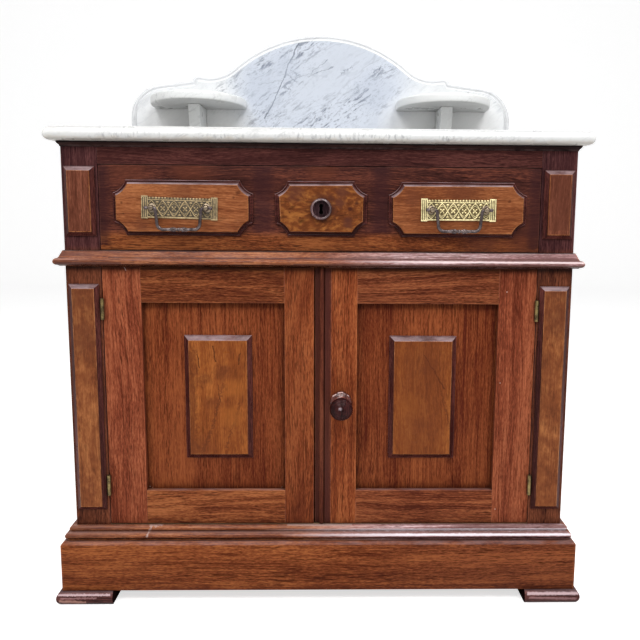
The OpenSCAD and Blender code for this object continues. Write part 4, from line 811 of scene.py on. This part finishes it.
def raisedPanel(node, edge, faceMaterial, edgeMaterial, arrisMaterial):
    bm = mergedCopy(node)
    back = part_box(node)[1].y
    middle = Vector((0, back, drawerMid))
    outlineOfBack(bm, lambda e: min((v.co - middle).length for v in e.verts) > keyReach * mm)
    liftSteps(bm, panelEdges[edge]["edge"], 0)
    liftSteps(bm, panelEdges[edge]["arris"], 2)
    liftSteps(bm, [(0.4, 0)], 1)
    field = [f for f in bm.faces if f.material_index == fieldMark]
    for face in field:
        face.material_index = 1
    if node == "centre_drawer_panel":   # both faces filled round the keyhole, then joined by its wall
        front = field[0].verts[0].co.y
        bmesh.ops.delete(bm, geom=field, context="FACES_ONLY")
        rims = []
        for level in (front, back):
            outline = [e for e in bm.edges if e.is_boundary and abs(e.verts[0].co.y - level) < 0.1 * mm]
            loop = keyholeLoop(bm, level, keyholeLook)
            filled = bmesh.ops.triangle_fill(bm, edges=outline + loop, use_beauty=True)["geom"]
            for face in filled:
                if isinstance(face, bmesh.types.BMFace):
                    face.material_index = 1
            rims += loop
        bmesh.ops.bridge_loops(bm, edges=rims)
    bmesh.ops.holes_fill(bm, edges=[e for e in bm.edges if e.is_boundary], sides=0)
    finishPiece(pieceName(node), bm, [edgeMaterial, faceMaterial, arrisMaterial], bodyOf(node), [node],
                30)


bevelWood = {g: timber("bevel", g, 0.5, bevelled) for g in "XZ"}
arrisWood = {g: timber("arris", g, 0.5, bevelled) for g in "XZ"}
doorFigure = veneer("doorPanel", 0.6)
for node, edge, figure, grain in (
        ("end_drawer_panels", "drawer", veneer("endPanel", 0.3), "X"),
        ("centre_drawer_panel", "drawer", veneer("centrePanel", 0.9), "X"),
        ("upper_post_panels", "post", veneer("upperPost", 0.4), "Z"),
        ("lower_post_panels", "post", veneer("lowerPost", 0.1), "Z"),
        ("left_raised_panel", "door", doorFigure, "Z"),
        ("right_raised_panel", "door", doorFigure, "Z")):
    raisedPanel(node, edge, figure, bevelWood[grain], arrisWood[grain])
print("raised panels moulded")

splashEdge = {   # steps of the moulded edge from the back forward: (inwards, forwards) in mm
    "steps": [(0, 8.8), (0.4, 1.1), (0.9, 0.9), (1.5, 0.6), (2.0, 0.1), (1.2, -0.4), (0.5, -0.4), (0.8, 0.0),
              (0.6, 0.3), (0.9, 0.9), (0.9, 1.6), (0.7, 2.2), (0.4, 1.8), (0.2, 0.8), (0.4, 0.5), (0.9, 0.1)],
    "below": 30,   # the outline runs this far down while it is moulded, so that the foot stays square
}


def carveSplash(look):
    bm = mergedCopy("backsplash")
    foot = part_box("marble_slab")[1].z
    outlineOfBack(bm, lambda e: True)
    for vert in bm.verts:
        if vert.co.z < foot + mm:
            vert.co.z -= look["below"] * mm
    liftSteps(bm, look["steps"], 1)
    liftSteps(bm, [(0.5, 0)], 0)
    for face in bm.faces:
        if face.material_index == fieldMark:
            face.material_index = 0
    bmesh.ops.holes_fill(bm, edges=[e for e in bm.edges if e.is_boundary], sides=0)
    bmesh.ops.bisect_plane(bm, geom=bm.verts[:] + bm.edges[:] + bm.faces[:], plane_co=(0, 0, foot),
                           plane_no=(0, 0, 1),
                           clear_inner=True)
    bmesh.ops.holes_fill(bm, edges=[e for e in bm.edges if e.is_boundary], sides=0)
    finishPiece("backsplash", bm, [splashMarble, edgeMarble], bodyOf("backsplash"), ["backsplash"],
                40)


marbleEdges = {   # width of the rounding in mm, its segments, and the angle from which an edge is rounded
    "marble_slab": (slabMarble, 2.2, 4, 50),
    "soap_shelves": (shelfMarble, 4.5, 5, 28),
    "shelf_brackets": (shelfMarble, 1.2, 2, 28),
}
for node, (stone, width, segments, angle) in marbleEdges.items():
    soften(node, stone, width, segments, angle)
carveSplash(splashEdge)
print("marble cut")


def lathe(bm, points, centre, axis, steps=64):   # turns points, (radius, height) in mm, about an axis through centre
    axis = Vector(axis)
    side = axis.orthogonal().normalized()
    last = None
    made = []
    for radius, height in points:
        place = Vector(centre) + side * radius * mm + axis * height * mm
        vert = bmesh.ops.create_vert(bm, co=place)["vert"][0]
        if last:
            made.append(bm.edges.new((last, vert)))
        made.append(vert)
        last = vert
    bmesh.ops.spin(bm, geom=made, cent=Vector(centre), axis=axis, angle=2 * math.pi, steps=steps, use_merge=True)


def bar(bm, low, high, ease=0.0, segments=2):   # a block between two corners, its edges eased
    made = bmesh.ops.create_cube(bm, size=1)["verts"]
    low, high = Vector(low), Vector(high)
    bmesh.ops.scale(bm, verts=made, vec=high - low)
    bmesh.ops.translate(bm, verts=made, vec=(high + low) / 2)
    if ease:
        edges = list(dict.fromkeys(e for v in made for e in v.link_edges))
        bmesh.ops.bevel(bm, geom=edges, offset=ease, offset_type="OFFSET", segments=segments, profile=0.5,
                        affect="EDGES", material=-1, clamp_overlap=True)


def dome(bm, centre, radius, scale=(1, 1, 1), around=10, down=6, turn=0.0):
    made = bmesh.ops.create_uvsphere(bm, u_segments=around, v_segments=down, radius=radius)["verts"]
    bmesh.ops.scale(bm, verts=made, vec=scale)
    bmesh.ops.rotate(bm, verts=made, cent=(0, 0, 0), matrix=Matrix.Rotation(math.radians(turn), 3, "Y"))
    bmesh.ops.translate(bm, verts=made, vec=centre)


def wire(bm, points, radii, segments=4):   # a tube along a smooth curve through points, added to the mesh
    curve = bpy.data.curves.new("wire", "CURVE")
    curve.dimensions = "3D"
    curve.bevel_depth, curve.bevel_resolution, curve.use_fill_caps = 1.0, segments, True
    spline = curve.splines.new("POLY")
    spline.points.add(len(points) - 1)
    for point, place, radius in zip(spline.points, points, radii):
        point.co = (*place, 1)
        point.radius = radius
    shape = bpy.data.objects.new("wire", curve)
    bpy.context.scene.collection.objects.link(shape)
    bpy.context.view_layer.update()
    mesh = bpy.data.meshes.new_from_object(shape.evaluated_get(bpy.context.evaluated_depsgraph_get()))
    bpy.data.objects.remove(shape)
    bpy.data.curves.remove(curve)
    bm.from_mesh(mesh)
    bpy.data.meshes.remove(mesh)


def keyholeCutter(y0, y1):   # the keyhole as a solid along Y
    bm = bmesh.new()
    face = bmesh.ops.edgeloop_fill(bm, edges=keyholeLoop(bm, y0, keyholeLook))["faces"]
    grown = bmesh.ops.extrude_face_region(bm, geom=face)["geom"]
    bmesh.ops.translate(bm, verts=[v for v in grown if isVert(v)], vec=(0, y1 - y0, 0))
    bmesh.ops.recalc_face_normals(bm, faces=bm.faces)
    mesh = bpy.data.meshes.new("keyholeCutter")
    bm.to_mesh(mesh)
    bm.free()
    cutter = bpy.data.objects.new("keyholeCutter", mesh)
    bpy.context.scene.collection.objects.link(cutter)
    return cutter


def cutKeyhole(piece, y0, y1):
    cutter = keyholeCutter(y0, y1)
    change = piece.modifiers.new("keyhole", "BOOLEAN")
    change.object, change.operation, change.solver = cutter, "DIFFERENCE", "EXACT"
    mesh = bpy.data.meshes.new_from_object(piece.evaluated_get(bpy.context.evaluated_depsgraph_get()))
    piece.modifiers.clear()
    piece.data = mesh
    bpy.data.objects.remove(cutter)


ringLook = {   # (radius, height) in mm from the panel's face outwards
    "profile": [(0, 0), (14.0, 0), (15.0, 0.5), (15.2, 1.3), (14.7, 2.2), (14.5, 2.9), (15.0, 3.5), (15.1, 4.3),
                (14.8, 5.3), (14.2, 6.2), (13.4, 6.8), (12.7, 7.0), (12.1, 6.8), (11.7, 6.3), (11.4, 5.5),
                (11.2, 4.2), (10.7, 3.5), (9.8, 3.2), (8.6, 3.3), (6.8, 3.5), (4, 3.6), (0, 3.6)],
    "dish": 11.3,   # the dark dish reaches this far from the middle
}


def makeKeyholeRing(look):
    bm = bmesh.new()
    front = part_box("end_drawer_panels")[0].y
    lathe(bm, look["profile"], (0, front, drawerMid), (0, -1, 0), 96)
    for face in bm.faces:
        middle = face.calc_center_median()
        face.material_index = 1 if math.hypot(middle.x, middle.z - drawerMid) < look["dish"] * mm else 0
    woods = [timber("turnedRing", "Z", 0.2, ringShine), timber("turnedDish", "Z", 0.2, dishShine)]
    ring = finishPiece("keyholeRing", bm, woods, "drawer", ["keyhole_ring"], 30)
    cutKeyhole(ring, front - 0.02, front + 0.003)


knobLook = {   # (radius, height) in mm from the back of the flange outwards
    "headFrom": 37, "spindle": 4.0,   # how far out the head's wood begins, and the radius of the spindle
    # glints painted on the neck, and one on the head
    "neckGlints": lines([(-12.5, 9.5, -6.5, 13.4, 0.9), (-5, 15.3, 4, 15.8, 0.7), (-4, 12.2, 3, 12.6, 0.6),
                        (9, 12.6, 12, 9.8, 0.6)], (0.75, 0.52, 0.48), 0.7, 1.6, grain=420),
    "headGlint": dots([(-1.4, 2.4, 3.0)], (0.60, 0.48, 0.52), 0.75, 1.4, grain=420),
    "profile": [(0, 0), (15.2, 0), (15.9, 0.6), (16.2, 1.6), (16.2, 2.6), (15.8, 3.7), (14.8, 4.7), (13.4, 5.4),
                (12.2, 5.7), (11.6, 6.3), (11.0, 7.4), (10.2, 9.0), (9.9, 10.8), (10.1, 12.0), (10.8, 12.8),
                (12.0, 13.3), (12.6, 14.2), (12.7, 15.4), (12.4, 16.6), (11.3, 17.5), (9.9, 18.2), (8.9, 19.4),
                (8.2, 21.5), (7.9, 24.2), (8.0, 26.8), (8.7, 29.2), (10.0, 31.2), (11.6, 32.8), (13.6, 34.4),
                (15.2, 36.2), (16.1, 38.4), (16.5, 40.8), (16.3, 43.2), (15.5, 45.4), (14.2, 47.0), (12.6, 48.2),
                (11.9, 48.5), (11.3, 48.3), (10.9, 48.5), (9.6, 49.6), (7.8, 50.6), (5.9, 51.4), (4.7, 51.9),
                (3.9, 52.0), (3.3, 51.6), (2.7, 50.6), (1.9, 50.2), (1.3, 50.5), (0.7, 50.9), (0, 51.0)],
}


def makeKnob(look):
    bm = bmesh.new()
    low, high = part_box("door_knob")
    reach = max(h for r, h in look["profile"])
    widest = max(r for r, h in look["profile"])
    centre = Vector(((low.x + high.x) / 2, low.y + reach * mm, high.z - widest * mm))
    lathe(bm, look["profile"], centre, (0, -1, 0), 96)
    spindle = (high.y - centre.y) / mm
    lathe(bm, [(0, -1), (look["spindle"], -1), (look["spindle"], spindle), (0, spindle)], centre, (0, 1, 0), 32)
    for face in bm.faces:
        face.material_index = 1 if face.calc_center_median().y < centre.y - look["headFrom"] * mm else 0
    x0, z0 = centre.x / mm, centre.z / mm
    # the painted glints, moved to the knob's place
    neck, head = dict(look["neckGlints"]), dict(look["headGlint"])
    neck["strokes"] = [(x0 + a, z0 + b, x0 + c, z0 + d, half) for a, b, c, d, half in neck["strokes"]]
    head["spots"] = [(x0 + a, z0 + b, radius) for a, b, radius in head["spots"]]
    woods = [timber("turned", "Z", 0.9, neckShine, marks=[neck]),
             timber("turnedHead", "Z", 0.2, headShine, marks=[head])]
    finishPiece("doorKnob", bm, woods, "door_knob", ["door_knob"], 32)


makeKeyholeRing(ringLook)
makeKnob(knobLook)
print("ring and knob turned")

plateLook = {   # mm
    "width": 106.0, "height": 29.4, "endHeight": 31.6, "thick": 0.9, "endZone": 9.5, "relief": 0.8, "cell": 15.5,
    "bandLow": -11.9, "bandHigh": 9.0, "beads": 20, "bead": 1.55, "petal": 1.45, "petalOut": 2.7, "eye": 1.35,
    # upright bands: from the end, and width
    "postApart": 76.0, "ends": ((0.1, 1.5), (2.9, 1.3), (5.4, 1.3), (7.9, 1.5)),
    # wire, share of the height and how far out, of each pair of waves
    "waves": ((0.86, 1.0, 0.35), (0.36, 0.70, 0.15)),
    # (radius, height)
    "post": [(0, 0.2), (6.0, 0.2), (6.3, 1.2), (6.0, 2.1), (4.6, 2.6), (3.3, 3.3), (2.9, 4.6), (2.9, 6.2),
             (3.4, 7.3), (4.1, 8.6), (4.45, 10.2), (4.4, 11.8), (3.9, 13.4), (2.9, 14.7), (1.6, 15.4), (0, 15.5)],
}


def makePlate(name, centre, look, raised, ground, lean=0.0):   # centre is where the plate meets the veneer
    bm = bmesh.new()
    x0, y0, z0 = centre
    w, h, t = look["width"] / 2, look["height"] / 2, look["thick"]
    tall = look["endHeight"] / 2
    inner, top = w - look["endZone"], t + look["relief"]

    def at(x, out, z):
        return Vector((x0 + x * mm, y0 - out * mm, z0 + z * mm))

    def strip(xa, xb, za, zb, out, ease=0.35):   # a raised band standing on the plate
        bar(bm, at(min(xa, xb), out, za), at(max(xa, xb), 0.2, zb), ease * mm)

    bar(bm, at(-w + 0.6, t, -h + 0.4), at(w - 0.6, 0, h - 0.8), 0.25 * mm)
    for sign in (-1, 1):   # the end blocks stand a little taller
        strip(sign * w, sign * (inner + 0.3), -tall, tall, t + 0.15, 0.3)
    for face in bm.faces:
        face.material_index = 1
    for sign in (-1, 1):
        for offset, wide in look["ends"]:
            strip(sign * (w - offset), sign * (w - offset - wide), -tall + 0.3, tall - 0.3, top)
        for level in (-tall, tall - 2.0):
            strip(sign * w, sign * (inner + 0.2), level, level + 2.0, top + 0.15)
    for low, high in ((-h, -h + 2.2), (look["bandHigh"] + 0.7, look["bandHigh"] + 2.0)):
        strip(-inner, inner, low, high, top - 0.05)
    step = 2 * inner / look["beads"]
    for i in range(look["beads"]):
        dome(bm, at(-inner + (i + 0.5) * step, t, h - 1.9), look["bead"] * mm, (1.0, 0.8, 1.1), 10, 6)
    middle = (look["bandLow"] + look["bandHigh"]) / 2
    half = (look["bandHigh"] - look["bandLow"]) / 2
    for sign in (-1, 1):   # two waves that cross make the row of pointed cells
        for thick, grow, out in look["waves"]:
            path = []
            for i in range(121):
                x = -inner + 2 * inner * i / 120
                turn = math.pi * x / look["cell"]
                bend = 0.5 * math.sin(turn) + 0.5 * math.asin(math.sin(turn)) * 2 / math.pi
                path.append(at(x, t + out, middle + sign * half * grow * bend))
            wire(bm, path, [thick * mm] * len(path), 3)
    for i in range(-3, 3):
        x = (i + 0.5) * look["cell"]
        if abs(x) > inner - 3:
            continue
        dome(bm, at(x, t, middle), look["eye"] * mm, (1, 0.9, 1), 10, 6)
        for turn in (45, 135, 225, 315):   # four petals round it
            dx, dz = look["petalOut"] * math.cos(math.radians(turn)), look["petalOut"] * math.sin(math.radians(turn))
            dome(bm, at(x + dx, t, middle - dz), look["petal"] * mm, (1.25, 0.8, 0.75), 10, 6, turn)
    for i in range(-2, 3):
        for dz in (half - 1.9, -half + 1.9):
            dome(bm, at(i * look["cell"], t, middle + dz), 1.7 * mm, (1.5, 0.8, 0.9), 10, 6)
            dome(bm, at(i * look["cell"], t, middle + dz * 0.62), 1.2 * mm, (0.7, 0.8, 1.3), 10, 6)
    bmesh.ops.rotate(bm, verts=bm.verts, cent=centre, matrix=Matrix.Rotation(math.radians(lean), 3, "Y"))
    plain = set(bm.faces)
    for sign in (-1, 1):   # posts with round heads
        lathe(bm, look["post"], at(sign * look["postApart"] / 2, 0, 0), (0, -1, 0), 28)
    for face in bm.faces:
        if face not in plain:
            face.material_index = 2
    metalsUsed = [raised, ground, metalMade["postBronze"]]
    finishPiece(name, bm, metalsUsed, "drawer", ["bail_plates"], 40)


bailLook = {   # mm, from the pivot line
    "drop": 29.6, "arm": 31.2, "lean": 1.6, "end": 45.4, "topBend": 4.0, "lowBend": 8.5,
    "wire": 2.2, "armWire": 2.35, "barWire": 2.45,
    "tip": [(0, -0.8), (1.9, -0.6), (2.5, 0.2), (2.7, 1.1), (2.4, 2.1), (1.6, 2.8), (0, 3.0)],   # (radius, height)
    "knot": [(0, -2.2), (1.7, -2.1), (2.4, -1.6), (2.9, -0.9), (3.1, 0), (2.9, 0.9), (2.4, 1.6), (1.7, 2.1),
             (0, 2.2)],
    "leafStart": 1.2, "leafRadius": 1.7, "leafSwell": 1.7, "leafRings": 14, "leafStep": 1.05, "leafTwist": 13,
}


def makeBail(name, node, centre, look):
    bm = bmesh.new()
    x0, y0, z0 = centre
    arm, drop, low = look["arm"], look["drop"], look["arm"] - look["lean"]
    half = [(look["end"] - 0.5, 0, look["wire"]), (look["end"] - 4, 0, look["wire"])]
    half += [(arm + look["topBend"], 0, look["wire"])]
    for i in range(1, 9):
        turn = math.radians(90 * i / 8)
        half.append((arm + look["topBend"] * (1 - math.sin(turn)), -look["topBend"] * (1 - math.cos(turn)),
                     look["wire"] + 0.2 * i / 8))
    half += [(arm - 0.3 * look["lean"], -drop * 0.35, look["armWire"]),
             (low + 0.2 * look["lean"], -drop * 0.6, look["armWire"] - 0.1)]
    for i in range(0, 11):
        turn = math.radians(90 * i / 10)
        half.append((low - look["lowBend"] * (1 - math.cos(turn)), -drop + look["lowBend"] * (1 - math.sin(turn)),
                     look["armWire"] - 0.1 + 0.2 * i / 10))
    half += [(low - look["lowBend"] - 3, -drop, look["barWire"]), (12, -drop, look["wire"]), (0, -drop, look["wire"])]
    path = [(x, z, r) for x, z, r in half] + [(-x, z, r) for x, z, r in reversed(half[:-1])]
    wire(bm, [(x0 + x * mm, y0, z0 + z * mm) for x, z, r in path], [r * mm for x, z, r in path], 5)
    for sign in (-1, 1):
        lathe(bm, look["tip"], (x0 + sign * (look["end"] - 1) * mm, y0, z0), (sign, 0, 0), 20)
        # a twisted leaf beside the knot
        leaf = bmesh.ops.create_circle(bm, segments=18, radius=1.0, cap_ends=True)["verts"]
        for i, vert in enumerate(leaf):
            vert.co *= 1.0 if i % 3 else 0.66
        bmesh.ops.rotate(bm, verts=leaf, cent=(0, 0, 0), matrix=Matrix.Rotation(math.radians(90), 3, "Y"))
        bmesh.ops.scale(bm, verts=leaf, vec=Vector((1, 1, 1)) * look["leafRadius"] * mm)
        place = Vector((x0 + sign * look["leafStart"] * mm, y0, z0 - drop * mm))
        bmesh.ops.translate(bm, verts=leaf, vec=place)
        ring = list(dict.fromkeys(e for v in leaf for e in v.link_edges))
        size, ahead = look["leafRadius"], Vector((sign * look["leafStep"] * mm, 0, 0))
        for i in range(look["leafRings"]):
            share = (i + 1) / look["leafRings"]
            new = look["leafRadius"] + look["leafSwell"] * math.sin(math.pi * share ** 0.8) * (1 - 0.25 * share)
            grown = bmesh.ops.extrude_edge_only(bm, edges=ring)["geom"]
            verts = [v for v in grown if isVert(v)]
            ring = [e for e in grown if isinstance(e, bmesh.types.BMEdge) and all(v in verts for v in e.verts)]
            bmesh.ops.translate(bm, verts=verts, vec=ahead)
            place += ahead
            bmesh.ops.scale(bm, verts=verts, vec=(1, new / size, new / size), space=Matrix.Translation(-place))
            twist = Matrix.Rotation(math.radians(look["leafTwist"]) * sign, 3, "X")
            bmesh.ops.rotate(bm, verts=verts, cent=place, matrix=twist)
            size = new
        bmesh.ops.holes_fill(bm, edges=ring, sides=0)
    lathe(bm, look["knot"], (x0, y0, z0 - drop * mm), (1, 0, 0), 20)
    finishPiece(name, bm, [metalMade["bailBronze"]], node, [node], 40)


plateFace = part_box("end_drawer_panels")[0].y
for side, tone, lean in (("Left", "Dull", 1.3), ("Right", "Bright", 0.0)):
    low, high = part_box("bail_" + side.lower())
    pivot = Vector(((low.x + high.x) / 2, (low.y + high.y) / 2, drawerMid))
    makePlate("plate" + side, Vector((pivot.x, plateFace, drawerMid)), plateLook, metalMade["plate" + tone],
              metalMade["ground" + tone], lean)
    makeBail("bail" + side, "bail_" + side.lower(), pivot, bailLook)
print("bails hung")

for node in ("post_hinge_leaves", "left_hinge_leaves", "right_hinge_leaves", "door_bolt_guide", "door_bolt"):
    dress(node, metalMade["hingeBrass"])
for node in ("lock_case", "lock_bolt"):
    dress(node, metalMade["lockBrass"])

dovetailLook = {"count": 5, "front": 16.0, "back": 11.0, "deep": 14.0, "proud": 0.1}   # mm


def makeDovetails(look):   # tails of the drawer's sides let into the ends of its front
    bm = bmesh.new()
    low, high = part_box("drawer_front")
    pitch = (high.z - low.z) / look["count"]
    for x in (low.x, high.x):
        for i in range(look["count"]):
            tail = bmesh.ops.create_cube(bm, size=1)["verts"]
            bmesh.ops.scale(bm, verts=tail, vec=Vector((2 * look["proud"], look["deep"], look["front"])) * mm)
            bmesh.ops.scale(bm, verts=[v for v in tail if v.co.y > 0], vec=(1, 1, look["back"] / look["front"]))
            bmesh.ops.translate(bm, verts=tail, vec=(x, high.y - look["deep"] / 2 * mm, low.z + (i + 0.5) * pitch))
    finishPiece("drawerDovetails", bm, [timber("plain", "Y", 0.4, bareWood)], "drawer")


nailLook = {"radius": 2.4, "flat": 0.35, "rows": (0.0, 0.5, 1.0), "in": 12.0}   # mm, and shares of the boards' height


def makeBackNails(look):   # cut nails that hold the back boards
    bm = bmesh.new()
    low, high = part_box("back_boards")
    pitch = (high.x - low.x) / boardCount
    for i in range(boardCount):
        for share in look["rows"]:
            z = low.z + look["in"] * mm + (high.z - low.z - 2 * look["in"] * mm) * share
            for side in (-1, 1):
                x = low.x + (i + 0.5) * pitch + side * (pitch / 2 - look["in"] * mm)
                dome(bm, (x, high.y, z), look["radius"] * mm, (1, look["flat"], 1), 12, 6)
    finishPiece("backNails", bm, [metalMade["nailIron"]], "cabinet")


makeDovetails(dovetailLook)
makeBackNails(nailLook)
print("fittings dressed")

studio = {"reach": 6.0, "rise": 4.0, "bend": 1.2, "floorColour": 0.86, "lift": 0.67, "ambient": 0.22}


def seenDirectly(tree):   # 1 for the rays that show the background itself
    rays = put(tree, "LightPath").outputs
    seen = calc(tree, "MAXIMUM", rays["Is Camera Ray"], rays["Is Glossy Ray"])
    return calc(tree, "MAXIMUM", seen, rays["Is Transmission Ray"])


def makeBackdrop(look):   # a floor that curves up behind the object
    bm = bmesh.new()
    start = bm.verts.new((-look["reach"], -look["reach"], -0.3 * mm))
    corner = bmesh.ops.extrude_vert_indiv(bm, verts=[start])["verts"][0]
    corner.co.y = look["reach"] - look["bend"]
    bend = bmesh.ops.spin(bm, geom=[corner], cent=corner.co + Vector((0, 0, look["bend"])), axis=(1, 0, 0),
                          angle=math.pi / 2, steps=16)["geom_last"]
    top = [v for v in bend if isVert(v)][0]
    last = bmesh.ops.extrude_vert_indiv(bm, verts=[top])["verts"][0]
    last.co.z += look["rise"]
    sheet = bmesh.ops.extrude_edge_only(bm, edges=bm.edges)["geom"]
    bmesh.ops.translate(bm, verts=[v for v in sheet if isVert(v)], vec=(2 * look["reach"], 0, 0))
    mesh = bpy.data.meshes.new("backdrop")
    bm.to_mesh(mesh)
    bm.free()
    mesh.shade_smooth()
    material = bpy.data.materials.new("paleBackdrop")
    material.use_nodes = True
    tree = material.node_tree
    tree.nodes.clear()
    paint = put(tree, "BsdfDiffuse", {"Color": (*[look["floorColour"]] * 3, 1)})
    glow = put(tree, "Emission", {"Strength": calc(tree, "MULTIPLY", seenDirectly(tree), look["lift"])})
    both = put(tree, "AddShader", {0: paint.outputs[0], 1: glow.outputs[0]})
    put(tree, "OutputMaterial", {"Surface": both.outputs[0]})
    mesh.materials.append(material)
    backdrop = bpy.data.objects.new("backdrop", mesh)
    bpy.context.scene.collection.objects.link(backdrop)


def makeWorld(look):
    world = bpy.data.worlds.new("studioWorld")
    bpy.context.scene.world = world
    world.use_nodes = True
    tree = world.node_tree
    tree.nodes.clear()
    strength = put(tree, "MapRange", {"Value": seenDirectly(tree), "To Min": look["ambient"],
                                      "To Max": 1.0}).outputs[0]
    sky = put(tree, "Background", {"Color": (1, 1, 1, 1), "Strength": strength})
    put(tree, "OutputWorld", {"Surface": sky.outputs[0]})


aim = (0, 0, 0.42)   # the middle of the cabinet, which all lamps face
lamps = {   # place, size across and up, and power of each soft light
    "key": {"place": (-0.9, -2.2, 2.5), "size": (1.6, 1.3), "power": 42},
    "second": {"place": (1.1, -2.3, 2.5), "size": (1.3, 0.35), "power": 26},
    "above": {"place": (1.0, -0.75, 2.9), "size": (2.0, 0.6), "power": 42},
    "aboveLeft": {"place": (-1.0, -0.75, 2.9), "size": (1.9, 0.6), "power": 12},
    "right": {"place": (2.6, -1.2, 1.6), "size": (1.6, 1.6), "power": 7},
    "left": {"place": (-2.6, -1.0, 1.6), "size": (1.6, 1.6), "power": 7},
}


def makeLamps(rack):
    for name, look in rack.items():
        light = bpy.data.lights.new(name + "Light", "AREA")
        light.shape, light.energy = "RECTANGLE", look["power"]
        light.size, light.size_y = look["size"]
        lamp = bpy.data.objects.new(name + "Light", light)
        lamp.location = look["place"]
        lamp.rotation_euler = (Vector(aim) - lamp.location).to_track_quat("-Z", "Y").to_euler()
        bpy.context.scene.collection.objects.link(lamp)


makeBackdrop(studio)
makeWorld(studio)
makeLamps(lamps)
bpy.context.scene.view_settings.view_transform = "Standard"
print("studio lit")
